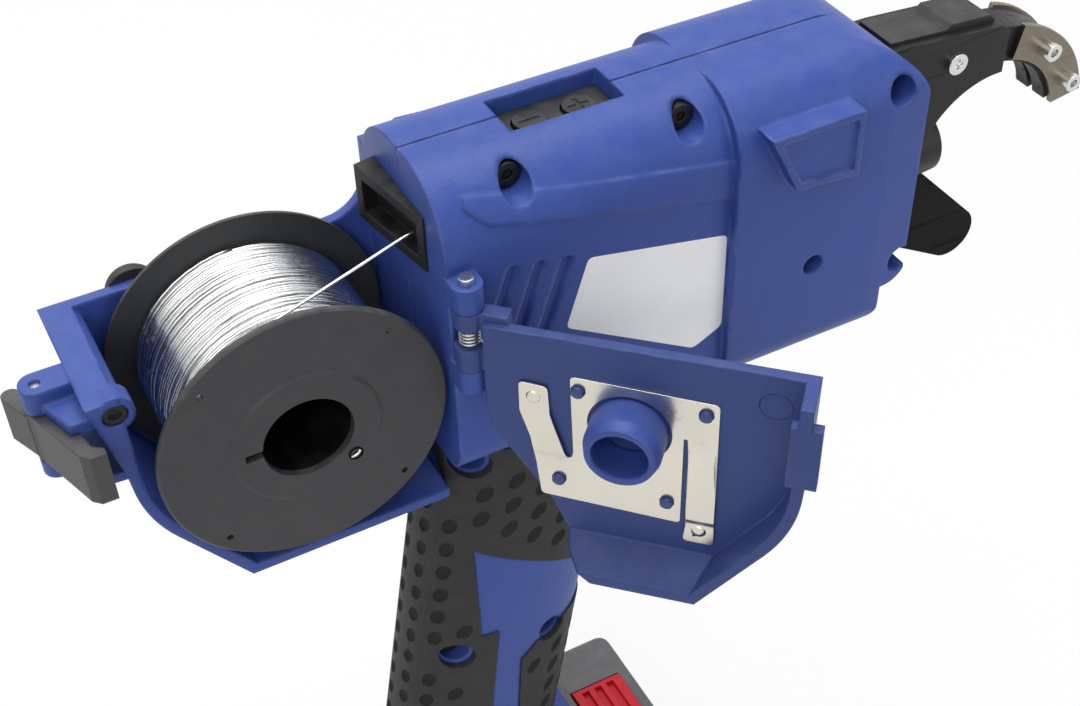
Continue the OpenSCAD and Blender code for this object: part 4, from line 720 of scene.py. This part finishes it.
def keepSurfaceNormals(mesh, source, inset):
    # faces of the old surface take its exact normals at the nearest point; pressed faces take the mean of their own
    corners = np.empty(len(source.loops) * 3)
    source.corner_normals.foreach_get("vector", corners)
    corners = corners.reshape(-1, 3)
    source.calc_loop_triangles()
    places = [v.co for v in source.vertices]
    tris = [tuple(t.vertices) for t in source.loop_triangles]
    loops = [tuple(t.loops) for t in source.loop_triangles]
    tree = BVHTree.FromPolygons(places, tris)
    own = np.zeros((len(mesh.vertices), 3))
    for face in mesh.polygons:
        if face.material_index:
            own[list(face.vertices)] += np.array(face.normal) * face.area
    normals = []
    for face in mesh.polygons:
        for v in face.vertices:
            if face.material_index:
                normals.append(Vector(own[v]).normalized())
                continue
            # looked up a little inwards, to stay on this face's side of an edge
            point = mesh.vertices[v].co.lerp(face.center, inset)
            spot, _, index, _ = tree.find_nearest(point)
            weights = poly_3d_calc([places[k] for k in tris[index]], spot)
            mean = sum((corners[k] * w for k, w in zip(loops[index], weights)), np.zeros(3))
            normals.append(Vector(mean).normalized())
    mesh.shade_smooth()
    mesh.normals_split_custom_set(normals)


def makeGrip(s):
    # a welded copy of the grip's solid, with the balls cut out of it; the pressed faces wear a darker rubber as
    # painted shade
    source = nodes["grip_rubber"].data
    skin = bpy.data.objects.new("grip_rubberSkin", source.copy())
    scene.collection.objects.link(skin)
    cleanMesh(skin.data, weld=s["skinWeld"], outward=False)
    cutter = makeDimpleBalls(s)
    dress(skin, "gripRubber")
    # the cutter's darker rubber passes to the pressed faces as painted shade in the dimples
    dress(cutter, "gripPaintedShade")
    press = skin.modifiers.new("dimples", "BOOLEAN")
    press.operation = "DIFFERENCE"
    press.solver = "EXACT"
    press.material_mode = "TRANSFER"  # pressed faces come out with the second material index
    press.object = cutter
    bpy.context.view_layer.update()
    done = bpy.data.meshes.new_from_object(skin.evaluated_get(bpy.context.evaluated_depsgraph_get()))
    skin.modifiers.remove(press)
    skin.data = done
    bpy.data.objects.remove(cutter)
    keepSurfaceNormals(done, source, s["inset"])
    pressed = np.zeros(len(done.polygons), np.int32)
    done.polygons.foreach_get("material_index", pressed)
    settle(skin, "tool", "gripRubber", slotOf["grip_rubber"], "grip_rubber")
    # second slot: the darker rubber that paints shade into the dimples
    done.materials.append(materials["gripPaintedShade"])
    done.polygons.foreach_set("material_index", pressed)


makeGrip(gripSettings)

# stamped spring plate inside the cover; u and w run from the spigot along the closed cover
plateSettings = {
    "hinge": (-20.5, -28.5), "open": 136.0, "spigot": (-61.8, 233.1), "face": -25.1,
    "thick": 0.5, "corner": 1.3, "step": 0.8, "gridFrom": (-22.4, -35.6), "gridTo": (28, 14), "clear": 0.3,
    "outline": [(15, 14), (-22, 13), (-22.6, -36), (-14.6, -36), (-14.6, 0), (-13.6, 0), (-13.6, -30), (23, -28.5),
                (24, -19), (25, -8), (28, 1), (28, 10), (20.6, 9.5), (20.2, 1), (16, -13), (15, -14), (14.4, -12)],
    "bore": 10.7, "boreSteps": 56, "boreChord": 0.998,  # chord: how near a ring's straight sides come to its centre
    "posts": [(13, 9.7), (-18.8, 9.2), (-10, -23.1), (18.2, -21.9)],
    "postHole": 1.9, "postSteps": 20, "postChord": 0.98,
    "rise": 1.2,  # height of the sprung arms; each bend is from, to and its share of that height
    "legEdge": -14.1, "legBends": [(2.0, 6.5, 1.0), (8.0, 27.0, -0.35), (27.6, 28.8, -0.45)],
    "armEdge": (15.5, -17), "armBends": [(-16.0, -10.5, 1.0), (-9.0, 0.0, -0.30), (0.8, 2.2, -0.35)],
    "knobs": [(24.3, 5.6), (-18.6, -31.6)], "knobRadius": 1.9, "knobRise": 0.6, "knobPower": 0.6,
    "knobRings": (0.25, 0.5, 0.75, 0.9, 1.0), "knobSteps": 20, "sharp": 40,
}


def swingOut(s, u, w, away):
    # from the plate's own frame to the closed cover, then round the hinge
    x = s["spigot"][0] + u - s["hinge"][0]
    y = s["face"] + away - s["hinge"][1]
    turn = math.radians(s["open"])
    return np.stack([s["hinge"][0] + x * math.cos(turn) - y * math.sin(turn),
                     s["hinge"][1] + x * math.sin(turn) + y * math.cos(turn),
                     s["spigot"][1] + w], -1) * mm


def plateLift(s, u, w):
    # each arm steps up at its root, falls slowly, drops at a fold, and carries a round knob on its pad
    leg = sum(share * softStep(-w, low, high) for low, high, share in s["legBends"])
    arm = sum(share * softStep(w, low, high) for low, high, share in s["armBends"])
    lift = np.where(u < s["legEdge"], s["rise"] * leg, 0.0)
    lift = np.where((u > s["armEdge"][0]) & (w > s["armEdge"][1]), s["rise"] * arm, lift)
    for ku, kw in s["knobs"]:
        far = np.hypot(u - ku, w - kw) / s["knobRadius"]
        lift = lift + s["knobRise"] * np.clip(1 - far ** 2, 0, 1) ** s["knobPower"]
    return lift


def onSheet(s, rim, u, w, bore, postHole):
    # inside the rim and outside the bore and the post holes
    on = insidePolygon(u, w, rim) & (np.hypot(u, w) > bore)
    for pu, pw in s["posts"]:
        on &= np.hypot(u - pu, w - pw) > postHole
    return on


def plateTriangles(s):
    # rim, bore, holes, knob rings and a grid of points, joined by a constrained triangulation
    rim = roundedOutline(s["outline"], np.minimum(s["corner"], cornerRoom(s["outline"])))
    rings = [rim, ringOf((0, 0), s["bore"], s["boreSteps"])]
    rings += [ringOf(post, s["postHole"], s["postSteps"]) for post in s["posts"]]
    edges, at = [], 0
    for ring in rings:
        edges += [(at + i, at + (i + 1) % len(ring)) for i in range(len(ring))]
        at += len(ring)
    (u0, w0), (u1, w1) = s["gridFrom"], s["gridTo"]
    gu, gw = np.meshgrid(np.arange(u0, u1, s["step"]), np.arange(w0, w1, s["step"]))
    fill = [np.stack([gu.ravel(), gw.ravel()], -1)]
    for knob in s["knobs"]:
        fill += [ringOf(knob, s["knobRadius"] * k, s["knobSteps"]) for k in s["knobRings"]]
    fill = np.vstack(fill)
    rim = [tuple(p) for p in rim]
    fill = fill[onSheet(s, rim, fill[:, 0], fill[:, 1], s["bore"] + s["clear"], s["postHole"] + s["clear"])]
    flat = [Vector(p) for p in np.vstack(rings + [fill])]
    verts, _, faces = delaunay_2d_cdt(flat, edges, [], 0, 1e-5)[:3]
    flat = np.array([tuple(v) for v in verts])
    tris = np.array([list(f) for f in faces])
    middle = flat[tris].mean(1)
    keep = onSheet(s, rim, middle[:, 0], middle[:, 1], s["bore"] * s["boreChord"], s["postHole"] * s["postChord"])
    return flat, tris[keep]


def makePlate(s):
    # the flat triangles lifted to two skins, with a wall along every edge that only one triangle has
    flat, tris = plateTriangles(s)
    u, w = flat.T
    lift = plateLift(s, u, w)
    n = len(flat)
    pairs = np.concatenate([tris[:, [0, 1]], tris[:, [1, 2]], tris[:, [2, 0]]])
    single = ~np.isin(pairs[:, 0] * n + pairs[:, 1], pairs[:, 1] * n + pairs[:, 0])
    a, b = pairs[single].T
    walls = np.stack([b, a, a + n, b + n], -1)
    skins = np.vstack([swingOut(s, u, w, lift), swingOut(s, u, w, lift + s["thick"])])
    faces = tris[:, ::-1].tolist() + (tris + n).tolist() + walls.tolist()
    obj = meshFrom("springPlateSheet", skins, faces)
    cleanMesh(obj.data, dropLoose=True)
    obj.data.shade_smooth()
    obj.data.set_sharp_from_angle(angle=math.radians(s["sharp"]))
    settle(obj, "cover", "nickelSheet", slotOf["cover_spring_plate"], "cover_spring_plate")


makePlate(plateSettings)

# heads of the cover's posts, melted over the plate
capSettings = {"radius": 1.72, "foot": 1.4, "rise": 0.35, "grid": (7, 20), "weld": 1e-6, "sharp": 50}


def makePostCaps(s, plate):
    # low domes: a quarter ellipse turned about each post
    rows, sides = s["grid"]
    v, u = sphereAngles(np.pi / 2, rows, sides)
    reach = s["radius"] * np.cos(v)
    points, faces = [], []
    for pu, pw in plate["posts"]:
        at = len(points) * v.size
        dome = swingOut(plate, pu + reach * np.cos(u), pw + reach * np.sin(u), s["foot"] + s["rise"] * np.sin(v))
        points.append(dome.reshape(-1, 3))
        faces += (ringQuads(rows, sides) + at).tolist() + [[at + k for k in range(sides)][::-1]]
    obj = meshFrom("postCaps", np.vstack(points), faces)
    cleanMesh(obj.data, weld=s["weld"])
    obj.data.shade_smooth()
    obj.data.set_sharp_from_angle(angle=math.radians(s["sharp"]))
    settle(obj, "cover", "meltedBlue", slotOf["reel_cover"])


makePostCaps(capSettings, plateSettings)

# mark that the ejector pin left on the inside of the cover
markSettings = {"at": (-35.0, 15.5), "radius": 4.0, "bead": 0.16, "sink": 0.02, "steps": 49, "sides": 6}


def makeEjectorMark(s, plate):
    # a fine ring, half sunk in the face
    a = np.linspace(0, 2 * np.pi, s["steps"])
    ring = swingOut(plate, s["at"][0] + s["radius"] * np.cos(a), s["at"][1] + s["radius"] * np.sin(a),
                    np.full(len(a), -s["sink"]))
    obj = tubeFrom("ejectorMark", ring, s["bead"] * mm, s["sides"])
    # the ring wears the cover's blue with its painted shade
    settle(obj, "cover", "shadedCoverBlue", slotOf["reel_cover"])


makeEjectorMark(markSettings, plateSettings)
print("spring plate and cover marks made")
